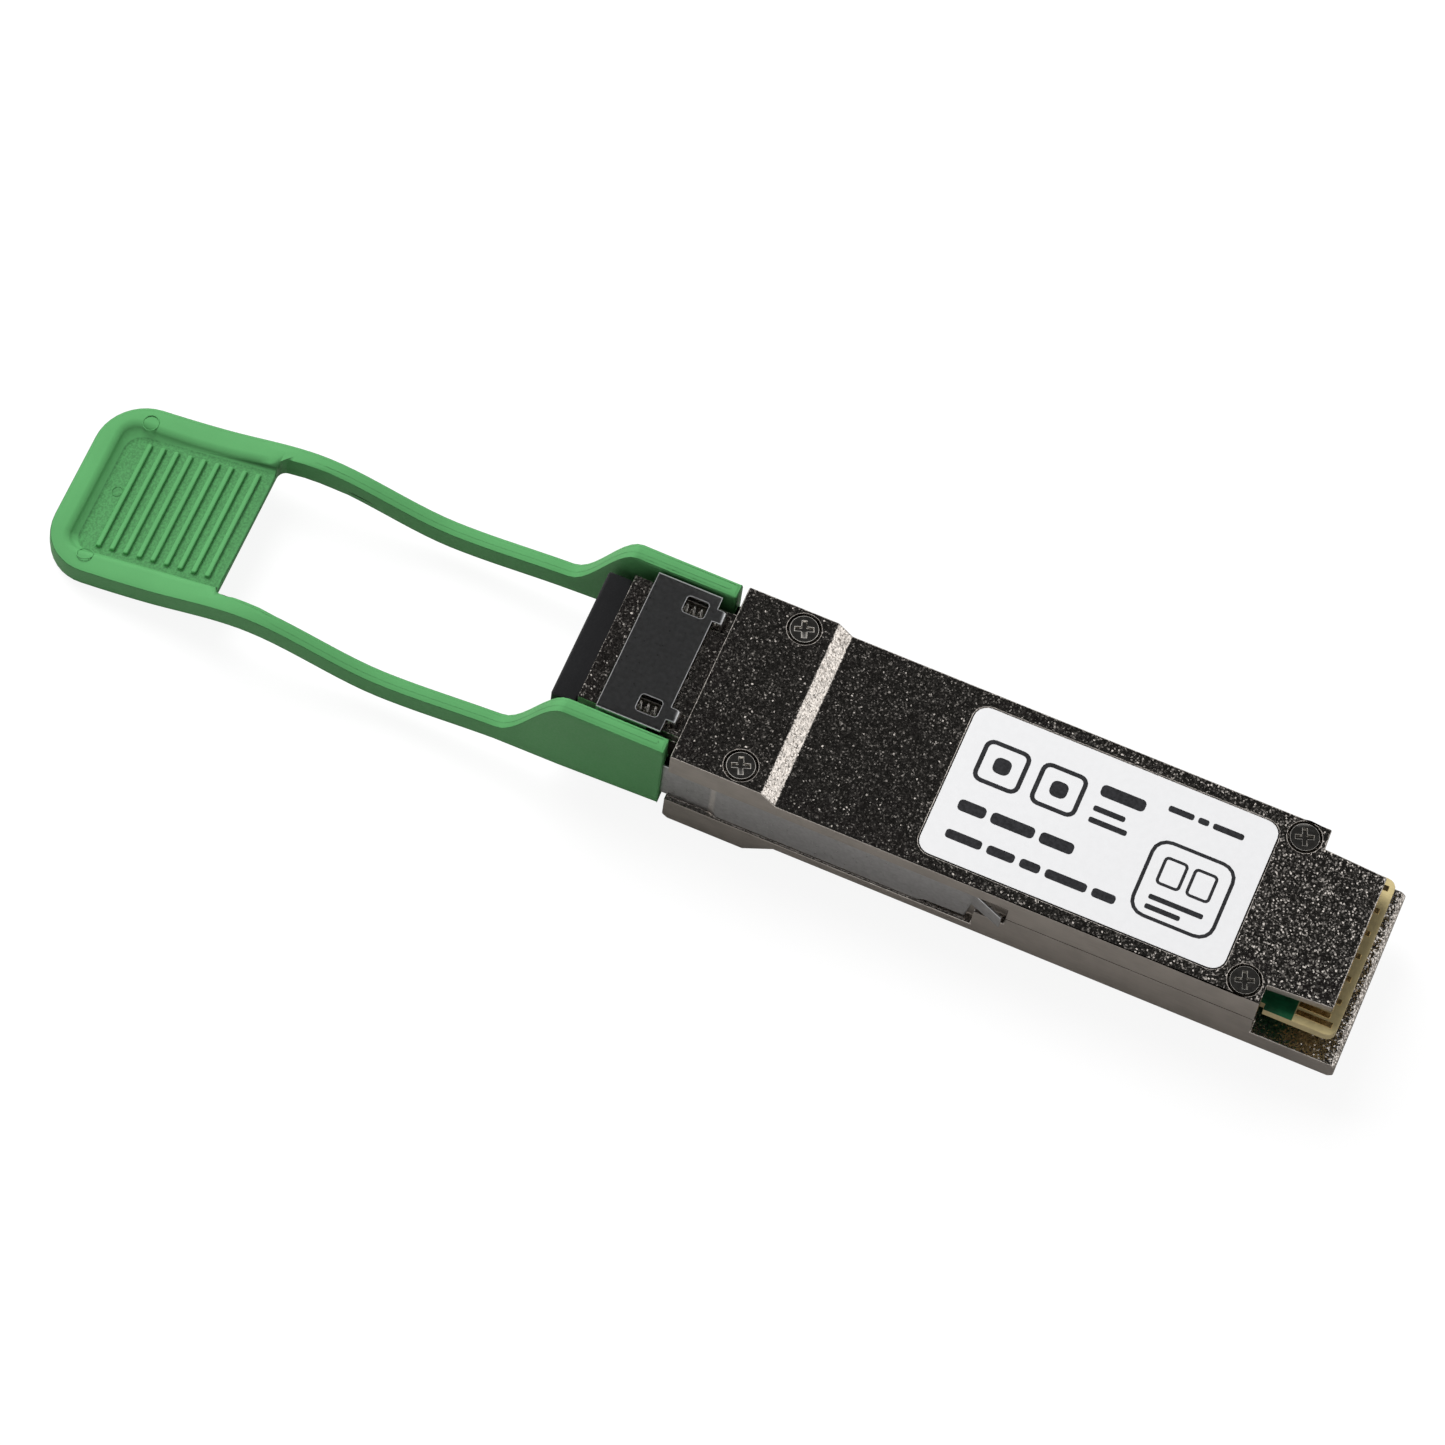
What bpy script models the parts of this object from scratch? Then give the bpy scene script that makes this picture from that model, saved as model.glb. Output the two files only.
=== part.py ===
"""Pluggable optical transceiver module with a pull-tab release, as separate pieces.

The module frame has X along the module, from the front of the nose block towards the card edge,
Y across it and Z up to the label face. The empty "module_frame" lifts it so that the whole object
stands on Z = 0, centred on the Z axis. Lengths are in metres.
"""

import math

import bmesh
import bpy
from mathutils import Vector

MM = 0.001

# Fits between pieces
SEAM = 0.10 * MM  # between the two housing halves, and around thin sheet
FILM_GAP = 0.05 * MM  # under a label, a pad or a gasket
CLEARANCE = 0.25 * MM  # round a piece that drops into a hole or pocket
SLIDE_GAP = 0.15 * MM  # between the sliding latch and the housing

# Helpers for cutting and joining
PAST = 1.0 * MM  # how far a cutter runs past the face that it opens
BITE = 0.2 * MM  # how far a joined piece runs into its neighbour

# Housing, outside
BODY_WIDTH = 18.35 * MM
BODY_HEIGHT = 8.5 * MM
COVER_LENGTH = 55.7 * MM  # full-width part of the cover
TONGUE_LENGTH = 6.05 * MM  # narrow part of the cover, over the card edge
TONGUE_WIDTH = 14.5 * MM
TONGUE_TAPER = 0.4 * MM  # taken off each side at the tip
TONGUE_THICKNESS = 1.0 * MM
APRON_LENGTH = 8.1 * MM  # floor that runs on past the side walls
APRON_THICKNESS = 2.35 * MM
APRON_CHAMFER = 0.45 * MM
PARTING_DEPTH = 3.5 * MM  # of the seam below the label face

# Housing, walls
ROOF = 1.4 * MM
FLOOR = 1.2 * MM
SIDE_WALL = 1.3 * MM
FRONT_WALL = 1.2 * MM
REAR_LEDGE = 3.0 * MM  # where the floor rises to the apron's level, in front of the cover's end

# Nose block and nose tube
BLOCK_LENGTH = 8.6 * MM
BLOCK_RISE = 1.43 * MM
BLOCK_RAMP = 1.44 * MM
FOOT_LENGTH = 7.8 * MM
FOOT_DROP = 2.3 * MM
FOOT_RAMP = 2.8 * MM
FOOT_CHAMFER = 0.5 * MM
NOSE_LENGTH = 9.83 * MM  # nose tube, in front of the block
NOSE_WALL = 0.55 * MM
NOSE_ROOT = 0.6 * MM  # how far the nose tube is built into the block
DECK_STEP = 1.06 * MM  # from the block's top down to the tube's top
DECK_THICKNESS = 1.12 * MM

# Screws
SCREW_HEAD = 2.65 * MM
SCREW_HEAD_HEIGHT = 0.6 * MM
SCREW_HEAD_SINK = 0.02 * MM
SCREW_SHANK = 1.3 * MM
SCREW_LENGTH = 5.2 * MM
SCREW_BOSS = 2.9 * MM
SCREW_RING = 0.22 * MM  # gap round the head in its counterbore
NOSE_SCREW_X = 5.99 * MM
NOSE_SCREW_EDGE = 1.835 * MM  # from the housing's side
REAR_SCREW_INSET = 1.97 * MM  # from the end of the full-width cover
REAR_SCREW_EDGE = 1.645 * MM
CROSS_WIDTH = 0.42 * MM
CROSS_REACH = 0.85 * MM
CROSS_DEPTH = 0.42 * MM
CROSS_TURN = 20  # degrees

# Label
LABEL_START = 22.75 * MM
LABEL_LENGTH = 28.8 * MM
LABEL_WIDTH = 15.44 * MM
LABEL_RADIUS = 1.3 * MM
LABEL_THICKNESS = 0.10 * MM
LABEL_SINK = 0.05 * MM

# Gaskets in the seam
GASKET_WIDTH = 0.5 * MM
GASKET_HEIGHT = 0.4 * MM
GASKET_START = 34.0 * MM
GASKET_END_INSET = 4.7 * MM  # from the end of the full-width cover
GASKET_ROUNDING = 0.12 * MM

# Duplex optical receptacle
PORT_PITCH = 6.25 * MM
PORT_SIZE = 4.7 * MM
PORT_DEPTH = 10.4 * MM
PORT_AXIS_DEPTH = 4.4 * MM  # below the label face
KEYWAY_WIDTH = 3.2 * MM
KEYWAY_HEIGHT = 2.4 * MM
KEYWAY_STOP = 2.0 * MM  # in front of the port's end
RECEPTACLE_WALL = 0.525 * MM  # beside the ports
RECEPTACLE_STEP = 0.45 * MM  # from the face's lower edge up to the body's
RECEPTACLE_REAR_WALL = 1.1 * MM
FACE_LENGTH = 2.4 * MM  # part of the receptacle in front of the nose tube
FACE_OVERHANG = 0.06 * MM  # of the face past the nose tube, each side
FACE_TOP = 0.99 * MM  # below the label face
FACE_RAISE = 0.3 * MM  # of the face's lower edge above the foot
FACE_BEVEL = 0.3 * MM

# Optical barrels and sub-assemblies
BARREL_DIAMETER = 2.9 * MM
BARREL_BORE = 1.35 * MM
BARREL_REACH = 5.6 * MM  # into the port
BARREL_CHAMFER = 0.2 * MM
BARREL_LIP = 0.15 * MM
COLLAR_DIAMETER = 4.4 * MM
COLLAR_THICKNESS = 0.6 * MM
CLIP_THICKNESS = 0.7 * MM
CLIP_INSET = 0.3 * MM
CLIP_BELOW = 2.4 * MM  # of the port's axis
CLIP_ABOVE = 2.6 * MM
OPTIC_LENGTH = 10.8 * MM
OPTIC_HEIGHT = 5.0 * MM
OPTIC_ROUNDING = 0.35 * MM
OPTIC_GAP = 1.05 * MM  # between the two sub-assemblies
BOSS_CLEARANCE = 0.165 * MM  # between a sub-assembly and the nose screws' bosses
FLEX_THICKNESS = 0.15 * MM
FLEX_INSET = 1.0 * MM  # narrower than the sub-assembly
FLEX_DROP = 0.4 * MM  # of the ribbon's start below the port's axis
FLEX_SPAN = 4.83 * MM  # from the sub-assembly to the board
FLEX_LANDING = 0.7 * MM  # level stretch in front of the board
FLEX_REACH = 2.6 * MM  # of the flexible circuit over the board

# Circuit board
BOARD_THICKNESS = 1.0 * MM
BOARD_DEPTH = 2.75 * MM  # of its upper face below the label face
BOARD_NOTCH = 1.7 * MM  # half length of the notch at each rear screw boss
CARD_WIDTH = 16.42 * MM
CARD_REACH = 7.05 * MM  # past the end of the full-width cover
CARD_SHOULDER = 0.4 * MM  # where the card width starts, past the cover's end
CARD_CORNER = 0.9 * MM
PROCESSOR_X = 14.0 * MM  # behind the board's front edge
PROCESSOR_SIZE = 8.5 * MM
PROCESSOR_HEIGHT = 0.85 * MM
PROCESSOR_PAD = 7.0 * MM
CHIP_ROUNDING = 0.08 * MM
OPTICS_PAD_INSET = 1.0 * MM
OPTICS_PAD_MARGIN = 0.6 * MM

# Sheet-metal latch
SHEET = 0.3 * MM
LATCH_STROKE = 2.5 * MM
DECK_MARGIN = 1.93 * MM  # deck left in front of the latch plate
PLATE_REAR = 1.73 * MM
PLATE_GAP = 0.35 * MM  # between the plate's side walls and the nose tube
SKIRT_DEPTH = 6.5 * MM  # of the plate's side walls below the label face
SKIRT_END_X = 2.9 * MM
WINDOW_LENGTH = 2.05 * MM
WINDOW_WIDTH = 1.7 * MM
WINDOW_X = 3.6 * MM
WINDOW_CORNER = 0.3 * MM
PUSHER_WIDTH = 1.3 * MM
PUSHER_DEPTH = 1.35 * MM
PUSHER_REAR = 0.75 * MM  # clear of the nose block
PUSHER_BEND = 0.55 * MM  # outer bend radius
RAIL_SINK = 0.22 * MM  # of the leg's outer face below the housing's side
RAIL_HEIGHT = 5.3 * MM
RAIL_TOP = 1.85 * MM
RAIL_JOIN_X = 1.1 * MM  # in front of the block, where the leg reaches the track
RAIL_STEP_X = 4.3 * MM
RAIL_BEND_X = 24.3 * MM
RAIL_END_X = 29.2 * MM
RAIL_TRIM = 0.2 * MM  # taken off the leg's lower edge before the hook
RAIL_EASE = 0.1 * MM
BEND_LENGTH = 0.4 * MM
STEP_LENGTH = 0.6 * MM
SKIRT_STEP = 0.3 * MM
HOOK_LENGTH = 2.8 * MM
HOOK_FLARE = 0.95 * MM
HOOK_HEIGHT = 2.2 * MM
HOOK_TAPER = 0.3 * MM
TRACK_DEPTH = 0.92 * MM  # recess in the housing's side that the leg runs in
TRACK_START = 0.5 * MM  # in front of the block

# Return springs
SPRING_DIAMETER = 1.2 * MM
SPRING_WIRE = 0.24 * MM
SPRING_TURNS = 7
SPRING_CLOSED = 2.55 * MM  # length with the latch pulled
SPRING_HEADROOM = 0.08 * MM
SPRING_Y = 5.3 * MM

# Pull tab, with its stations along X counted from the cheek's front
CHEEK_OVERHANG = 0.37 * MM  # of the cheek in front of the nose tube
CHEEK_REAR_X = 0.6 * MM
CHEEK_GAP = 0.225 * MM  # between the cheek and the latch plate
CHEEK_RISE = 1.5 * MM  # above the label face
CHEEK_DEPTH = 8.7 * MM
LEG_SLOT_X = 3.1 * MM
TAB_THICKNESS = 2.6 * MM
TAB_INSET = 0.125 * MM  # of the arms from the housing's side
TAB_ARM = 1.6 * MM
ARM_START = 6.2 * MM  # foot of the ramp below the cheek
ARM_START_DROP = 6.95 * MM
ARM_START_SLOPE = 0.08
ARM_TROUGH = 17.6 * MM
ARM_TROUGH_DROP = 8.1 * MM
ARM_CREST = 30.2 * MM
ARM_CREST_DROP = 5.8 * MM
LOOP_END = 34.4 * MM
LOOP_CORNER = 0.8 * MM
PAD_START = 40.2 * MM
PAD_START_DROP = 8.2 * MM
PAD_SLOPE = 0.2514
TAB_END = 51.4 * MM
TAB_END_DROP = 10.2 * MM
TAB_CORNER = 4.7 * MM
PAD_RIM = 2.2 * MM
PAD_WALL = 0.55 * MM  # plan width of the dish's leaning wall, one DISH_WALL high
DISH_CORNER = 1.6 * MM
DISH_WALL = 1.0 * MM
DISH_CLEAR = 2.0 * MM  # height of the dish's cutter
RIB_COUNT = 9
RIB_PITCH = 1.343 * MM
RIB_FIRST = 35.74 * MM
RIB_FIRST_DROP = 7.58 * MM
RIB_WIDTH = 0.5 * MM
RIB_HEIGHT = 0.42 * MM
RIB_LENGTH = 11.4 * MM
RIB_ROOT = 0.3 * MM

# Worked out from the sizes above
HALF_WIDTH = BODY_WIDTH / 2
HOLLOW_HALF = HALF_WIDTH - SIDE_WALL
HOLLOW_FLOOR = -BODY_HEIGHT + FLOOR
APRON_TOP = -BODY_HEIGHT + APRON_THICKNESS
APRON_END = COVER_LENGTH + APRON_LENGTH
TONGUE_END = COVER_LENGTH + TONGUE_LENGTH
CARD_END = COVER_LENGTH + CARD_REACH
NOSE_SCREW_Y = HALF_WIDTH - NOSE_SCREW_EDGE
REAR_SCREW_X = COVER_LENGTH - REAR_SCREW_INSET
REAR_SCREW_Y = HALF_WIDTH - REAR_SCREW_EDGE
SEAM_TOP = -PARTING_DEPTH - SEAM  # of the lower housing's side walls
DECK_TOP = BLOCK_RISE - DECK_STEP
DECK_BOTTOM = DECK_TOP - DECK_THICKNESS
FOOT_BOTTOM = -BODY_HEIGHT - FOOT_DROP
TUBE_HALF = (PORT_PITCH + PORT_SIZE) / 2 + RECEPTACLE_WALL + SEAM
NOSE_HALF = TUBE_HALF + NOSE_WALL
FACE_FRONT = -NOSE_LENGTH - SEAM - FACE_LENGTH
FACE_BOTTOM = FOOT_BOTTOM + FACE_RAISE
PORT_END = FACE_FRONT + PORT_DEPTH
RECEPTACLE_END = PORT_END + RECEPTACLE_REAR_WALL
COLLAR_START = RECEPTACLE_END + SEAM
CLIP_START = COLLAR_START + COLLAR_THICKNESS + SEAM
OPTIC_START = CLIP_START + CLIP_THICKNESS + SEAM + COLLAR_THICKNESS
OPTIC_END = OPTIC_START + OPTIC_LENGTH
OPTIC_OUTER = NOSE_SCREW_Y - SCREW_BOSS / 2 - BOSS_CLEARANCE
OPTIC_Y = (OPTIC_GAP / 2 + OPTIC_OUTER) / 2
OPTIC_HALF = (OPTIC_OUTER - OPTIC_GAP / 2) / 2
BOARD_START = OPTIC_END + FLEX_SPAN
PLATE_TOP = BLOCK_RISE
PLATE_FRONT = NOSE_LENGTH - DECK_MARGIN
PLATE_HALF = NOSE_HALF + PLATE_GAP + SHEET
SPRING_REAR = -PUSHER_REAR - SHEET - SEAM
SPRING_FRONT = SPRING_REAR - LATCH_STROKE - SPRING_CLOSED
POCKET_FLOOR = PLATE_TOP - SHEET - SPRING_HEADROOM - SPRING_DIAMETER - SEAM
TRACK_Y = HALF_WIDTH - TRACK_DEPTH
TRACK_RAIL_Y = TRACK_Y + SLIDE_GAP + SHEET  # outer face of a leg that lies on the track's floor
RAIL_Y = HALF_WIDTH - RAIL_SINK
RAIL_BOTTOM = -RAIL_TOP - RAIL_HEIGHT
HOOK_TOP = -RAIL_TOP - SLIDE_GAP
HOOK_END_X = RAIL_END_X + HOOK_LENGTH
CHEEK_INNER = PLATE_HALF + CHEEK_GAP
CHEEK_FRONT = -NOSE_LENGTH - CHEEK_OVERHANG
TAB_HALF = HALF_WIDTH - TAB_INSET
TAB_TIP = CHEEK_FRONT - TAB_END
LOOP_TIP = CHEEK_FRONT - LOOP_END
RIB_FIRST_X = CHEEK_FRONT - RIB_FIRST


# ---------------------------------------------------------------- helpers


def clear_scene():
    for item in list(bpy.data.objects):
        bpy.data.objects.remove(item, do_unlink=True)


def empty(name, location=(0, 0, 0), parent=None):
    item = bpy.data.objects.new(name, None)
    item.empty_display_size = 5 * MM
    item.location = location
    item.parent = parent
    bpy.context.collection.objects.link(item)
    return item


def finish(name):
    """A Principled material by its name in FINISHES, made once."""
    if name in bpy.data.materials:
        return bpy.data.materials[name]
    colour, roughness, metallic = FINISHES[name]
    made = bpy.data.materials.new(name)
    made.use_nodes = True
    shader = made.node_tree.nodes["Principled BSDF"]
    shader.inputs["Base Color"].default_value = (*colour, 1)
    shader.inputs["Roughness"].default_value = roughness
    shader.inputs["Metallic"].default_value = metallic
    return made


FINISHES = {
    "cast_nickel": ((0.34, 0.32, 0.30), 0.42, 1.0),
    "spring_steel": ((0.46, 0.46, 0.46), 0.28, 1.0),
    "screw_nickel": ((0.62, 0.60, 0.57), 0.24, 1.0),
    "black_plastic": ((0.015, 0.015, 0.017), 0.5, 0.0),
    "green_plastic": ((0.10, 0.42, 0.15), 0.55, 0.0),
    "label_paper": ((0.86, 0.87, 0.88), 0.6, 0.0),
    "board_green": ((0.03, 0.20, 0.09), 0.4, 0.0),
    "flex_amber": ((0.45, 0.20, 0.04), 0.4, 0.0),
    "gold_plate": ((0.83, 0.60, 0.25), 0.3, 1.0),
    "chip_black": ((0.03, 0.03, 0.035), 0.6, 0.0),
    "ferrite_grey": ((0.12, 0.12, 0.13), 0.7, 0.0),
    "thermal_grey": ((0.35, 0.38, 0.42), 0.9, 0.0),
    "gasket_grey": ((0.20, 0.20, 0.21), 0.85, 0.0),
}


def place(name, mesh, parent, finish_name=None, location=(0, 0, 0)):
    """An object from a bmesh, at a place in its parent's frame."""
    bmesh.ops.recalc_face_normals(mesh, faces=mesh.faces)
    data = bpy.data.meshes.new(name)
    mesh.to_mesh(data)
    mesh.free()
    item = bpy.data.objects.new(name, data)
    item.location = location
    item.parent = parent
    bpy.context.collection.objects.link(item)
    if finish_name:
        data.materials.append(finish(finish_name))
    return item


def hide(item):
    item.hide_render = True
    item.display_type = "WIRE"


def combine(target, other, operation):
    """A Boolean on target, with the other object as a hidden helper."""
    other.parent = target.parent
    hide(other)
    step = target.modifiers.new(other.name, "BOOLEAN")
    step.operation = operation
    step.solver = "EXACT"
    step.object = other


def cut(target, other):
    combine(target, other, "DIFFERENCE")


def weld(target, other):
    combine(target, other, "UNION")


def smooth(item, degrees=35):
    item.data.shade_smooth()
    item.data.set_sharp_from_angle(angle=math.radians(degrees))


def round_edges(item, width, segments=2, degrees=40):
    step = item.modifiers.new("edge rounding", "BEVEL")
    step.width = width
    step.segments = segments
    step.limit_method = "ANGLE"
    step.angle_limit = math.radians(degrees)


def prism(outline, low, high, along):
    """A bmesh: an outline drawn in the plane across one axis, extruded along that axis."""
    turn = {"X": lambda a, b, c: (c, a, b), "Y": lambda a, b, c: (a, c, b), "Z": lambda a, b, c: (a, b, c)}
    mesh = bmesh.new()
    corners = [mesh.verts.new(turn[along](a, b, low)) for a, b in outline]
    face = mesh.faces.new(corners)
    grown = bmesh.ops.extrude_face_region(mesh, geom=[face])["geom"]
    shift = Vector(turn[along](0, 0, high - low))
    bmesh.ops.translate(mesh, vec=shift, verts=[v for v in grown if isinstance(v, bmesh.types.BMVert)])
    return mesh


def block(x, y, z):
    """A bmesh box from three (low, high) pairs."""
    return prism([(x[0], y[0]), (x[1], y[0]), (x[1], y[1]), (x[0], y[1])], z[0], z[1], "Z")


def arc(centre, radius, start, end, steps=6):
    """Points along an arc, in degrees."""
    turns = [math.radians(start + (end - start) * i / steps) for i in range(steps + 1)]
    return [(centre[0] + radius * math.cos(t), centre[1] + radius * math.sin(t)) for t in turns]


def rounded_rectangle(x, y, radius, steps=5):
    return (
        arc((x[1] - radius, y[1] - radius), radius, 0, 90, steps)
        + arc((x[0] + radius, y[1] - radius), radius, 90, 180, steps)
        + arc((x[0] + radius, y[0] + radius), radius, 180, 270, steps)
        + arc((x[1] - radius, y[0] + radius), radius, 270, 360, steps)
    )


def cylinder(centre, radius, low, high, along="Z", sides=32):
    """A bmesh cylinder; centre is given across the axis."""
    return prism(arc(centre, radius, 0, 360 - 360 / sides, sides - 1), low, high, along)


def turned(profile, steps=32):
    """A bmesh turned about the X axis from (x, radius) points that start and end off the axis."""
    mesh = bmesh.new()
    rings = []
    for i in range(steps):
        turn = 2 * math.pi * i / steps
        ring = [mesh.verts.new((x, r * math.cos(turn), r * math.sin(turn))) for x, r in profile]
        rings.append(ring)
    for i in range(steps):
        here, there = rings[i], rings[(i + 1) % steps]
        for j in range(len(profile)):
            k = (j + 1) % len(profile)
            mesh.faces.new((here[j], here[k], there[k], there[j]))
    return mesh


def merged(*parts):
    """One bmesh that holds several separate bodies, for use as a helper."""
    whole = bmesh.new()
    for part in parts:
        bmesh.ops.recalc_face_normals(part, faces=part.faces)
        data = bpy.data.meshes.new("part")
        part.to_mesh(data)
        part.free()
        whole.from_mesh(data)
        bpy.data.meshes.remove(data)
    return whole


def skin(mesh, rings):
    """Walls between rings of points, with both ends closed."""
    for here, there in zip(rings, rings[1:]):
        for i in range(len(here)):
            j = (i + 1) % len(here)
            mesh.faces.new((here[i], here[j], there[j], there[i]))
    mesh.faces.new(rings[0])
    mesh.faces.new(rings[-1])


def eased(start, end, steps):
    """Points of a cubic from one (x, z, slope) to the next, without the last point."""
    (x0, z0, m0), (x1, z1, m1) = start, end
    reach = x1 - x0
    points = []
    for i in range(steps):
        t = i / steps
        value = (
            z0 * (2 * t**3 - 3 * t**2 + 1)
            + m0 * reach * (t**3 - 2 * t**2 + t)
            + z1 * (3 * t**2 - 2 * t**3)
            + m1 * reach * (t**3 - t**2)
        )
        points.append((x0 + reach * t, value))
    return points


def both_sides(maker):
    """The same helper body on the +Y and the -Y side; maker takes the side, +1 or -1."""
    return merged(maker(1), maker(-1))


def span(side, inner, outer):
    """(low, high) in Y between two distances from the middle, on one side."""
    return (inner, outer) if side > 0 else (-outer, -inner)


# ---------------------------------------------------------------- housing


def screw_places():
    """(name, x, y, z of the face under which the head sits) of the four screws."""
    return [
        ("screw_nose_left", NOSE_SCREW_X, -NOSE_SCREW_Y, BLOCK_RISE),
        ("screw_nose_right", NOSE_SCREW_X, NOSE_SCREW_Y, BLOCK_RISE),
        ("screw_rear_left", REAR_SCREW_X, -REAR_SCREW_Y, 0.0),
        ("screw_rear_right", REAR_SCREW_X, REAR_SCREW_Y, 0.0),
    ]


def track(low, high):
    """The recesses in the housing's sides that the latch legs slide in, between two heights."""
    rail_end = RAIL_END_X + SLIDE_GAP
    hook_end = HOOK_END_X + CLEARANCE
    hook_low = max(low, HOOK_TOP - HOOK_HEIGHT - 2 * CLEARANCE)
    outline = [(-TRACK_START, low), (rail_end, low)]
    if hook_low > low:
        outline.append((rail_end, hook_low))
    outline += [(hook_end, hook_low), (hook_end, high), (-TRACK_START, high)]

    def one(side):
        return prism(outline, *span(side, TRACK_Y, HALF_WIDTH + PAST), "Y")

    return both_sides(one)


def boss_posts(low, high):
    parts = [cylinder((x, y), SCREW_BOSS / 2, low, high, sides=24) for _, x, y, _ in screw_places()]
    return merged(*parts)


def upper_cover(parent):
    side_profile = [
        (0, -PARTING_DEPTH),
        (COVER_LENGTH, -PARTING_DEPTH),
        (COVER_LENGTH, 0),
        (BLOCK_LENGTH + BLOCK_RAMP, 0),
        (BLOCK_LENGTH, BLOCK_RISE),
        (0, BLOCK_RISE),
    ]
    shell = place(
        "upper_cover",
        prism(side_profile, -HALF_WIDTH, HALF_WIDTH, "Y"),
        parent,
        "cast_nickel",
    )
    hollow = block(
        (FRONT_WALL, COVER_LENGTH + PAST),
        (-HOLLOW_HALF, HOLLOW_HALF),
        (-PARTING_DEPTH - PAST, -ROOF),
    )
    cut(shell, place("cover_hollow", hollow, parent))
    mouth = block(
        (-PAST, FRONT_WALL + PAST), (-TUBE_HALF, TUBE_HALF), (-PARTING_DEPTH - PAST, DECK_BOTTOM)
    )
    cut(shell, place("cover_mouth", mouth, parent))
    root, tip = TONGUE_WIDTH / 2, TONGUE_WIDTH / 2 - TONGUE_TAPER
    plan = [(COVER_LENGTH - PAST, -root), (TONGUE_END, -tip), (TONGUE_END, tip), (COVER_LENGTH - PAST, root)]
    weld(shell, place("cover_tongue", prism(plan, -TONGUE_THICKNESS, 0, "Z"), parent))
    deck = block((-NOSE_LENGTH, NOSE_ROOT), (-NOSE_HALF, NOSE_HALF), (DECK_BOTTOM, DECK_TOP))
    weld(shell, place("cover_deck", deck, parent))
    weld(shell, place("cover_bosses", boss_posts(-PARTING_DEPTH, -ROOF + BITE), parent))
    cut(shell, place("cover_track", track(-PARTING_DEPTH - PAST, -RAIL_TOP + SLIDE_GAP), parent))
    cut(shell, place("spring_pockets", both_sides(spring_pocket), parent))
    for name, x, y, top in screw_places():
        seat_floor = top - SCREW_HEAD_HEIGHT - SEAM
        ring = cylinder((x, y), SCREW_HEAD / 2 + SCREW_RING, seat_floor, top + PAST, sides=40)
        cut(shell, place(f"{name}_counterbore", ring, parent))
        low = -PARTING_DEPTH - PAST
        hole = cylinder((x, y), SCREW_SHANK / 2 + CLEARANCE, low, seat_floor + BITE, sides=24)
        cut(shell, place(f"{name}_hole", hole, parent))
    seat = label_outline(SEAM)
    seat_floor = -LABEL_SINK - LABEL_THICKNESS - FILM_GAP
    cut(shell, place("label_seat", prism(seat, seat_floor, PAST, "Z"), parent))
    return shell


def spring_pocket(side):
    """The slot in the deck that a return spring lies in, open at the top."""
    reach = SPRING_DIAMETER / 2 + CLEARANCE
    along = (SPRING_FRONT - SEAM, -PUSHER_REAR + CLEARANCE)
    return block(along, span(side, SPRING_Y - reach, SPRING_Y + reach), (POCKET_FLOOR, DECK_TOP + PAST))


def label_outline(margin=0.0):
    half = LABEL_WIDTH / 2 + margin
    along = (LABEL_START - margin, LABEL_START + LABEL_LENGTH + margin)
    return rounded_rectangle(along, (-half, half), LABEL_RADIUS + margin)


def lower_housing(parent):
    side_profile = [
        (0, SEAM_TOP),
        (0, FOOT_BOTTOM + FOOT_CHAMFER),
        (FOOT_CHAMFER, FOOT_BOTTOM),
        (FOOT_LENGTH, FOOT_BOTTOM),
        (FOOT_LENGTH + FOOT_RAMP, -BODY_HEIGHT),
        (APRON_END - APRON_CHAMFER, -BODY_HEIGHT),
        (APRON_END, -BODY_HEIGHT + APRON_CHAMFER),
        (APRON_END, APRON_TOP - APRON_CHAMFER),
        (APRON_END - APRON_CHAMFER, APRON_TOP),
        (COVER_LENGTH, APRON_TOP),
        (COVER_LENGTH, SEAM_TOP),
    ]
    shell = place(
        "lower_housing",
        prism(side_profile, -HALF_WIDTH, HALF_WIDTH, "Y"),
        parent,
        "cast_nickel",
    )
    inside = (-HOLLOW_HALF, HOLLOW_HALF)
    hollow = block((FRONT_WALL, COVER_LENGTH - REAR_LEDGE + BITE), inside, (HOLLOW_FLOOR, PAST))
    cut(shell, place("housing_hollow", hollow, parent))
    ledge = block((COVER_LENGTH - REAR_LEDGE, COVER_LENGTH + PAST), inside, (APRON_TOP, PAST))
    cut(shell, place("housing_ledge", ledge, parent))
    cradle = block((-NOSE_LENGTH, NOSE_ROOT), (-NOSE_HALF, NOSE_HALF), (FOOT_BOTTOM, SEAM_TOP))
    weld(shell, place("housing_cradle", cradle, parent))
    walls = block((-NOSE_LENGTH, -SEAM), (-NOSE_HALF, NOSE_HALF), (SEAM_TOP - PAST, DECK_BOTTOM - SEAM))
    weld(shell, place("housing_tube_walls", walls, parent))
    along = (-NOSE_LENGTH - PAST, FRONT_WALL + PAST)
    tube = block(along, (-TUBE_HALF, TUBE_HALF), (FOOT_BOTTOM + NOSE_WALL, PAST))
    cut(shell, place("housing_tube", tube, parent))
    weld(shell, place("housing_bosses", boss_posts(HOLLOW_FLOOR - BITE, SEAM_TOP), parent))
    cut(shell, place("housing_track", track(RAIL_BOTTOM - SEAM, -PARTING_DEPTH + PAST), parent))
    for name, x, y, face in screw_places():
        deep = face - SCREW_HEAD_HEIGHT - SCREW_LENGTH - CLEARANCE
        hole = cylinder((x, y), SCREW_SHANK / 2 + SEAM, deep, PAST, sides=24)
        cut(shell, place(f"{name}_thread", hole, parent))
    cut(shell, place("gasket_grooves", both_sides(gasket_groove), parent))
    return shell


# ---------------------------------------------------------------- gaskets, label and screws


def gasket_span():
    return GASKET_START, COVER_LENGTH - GASKET_END_INSET


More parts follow.
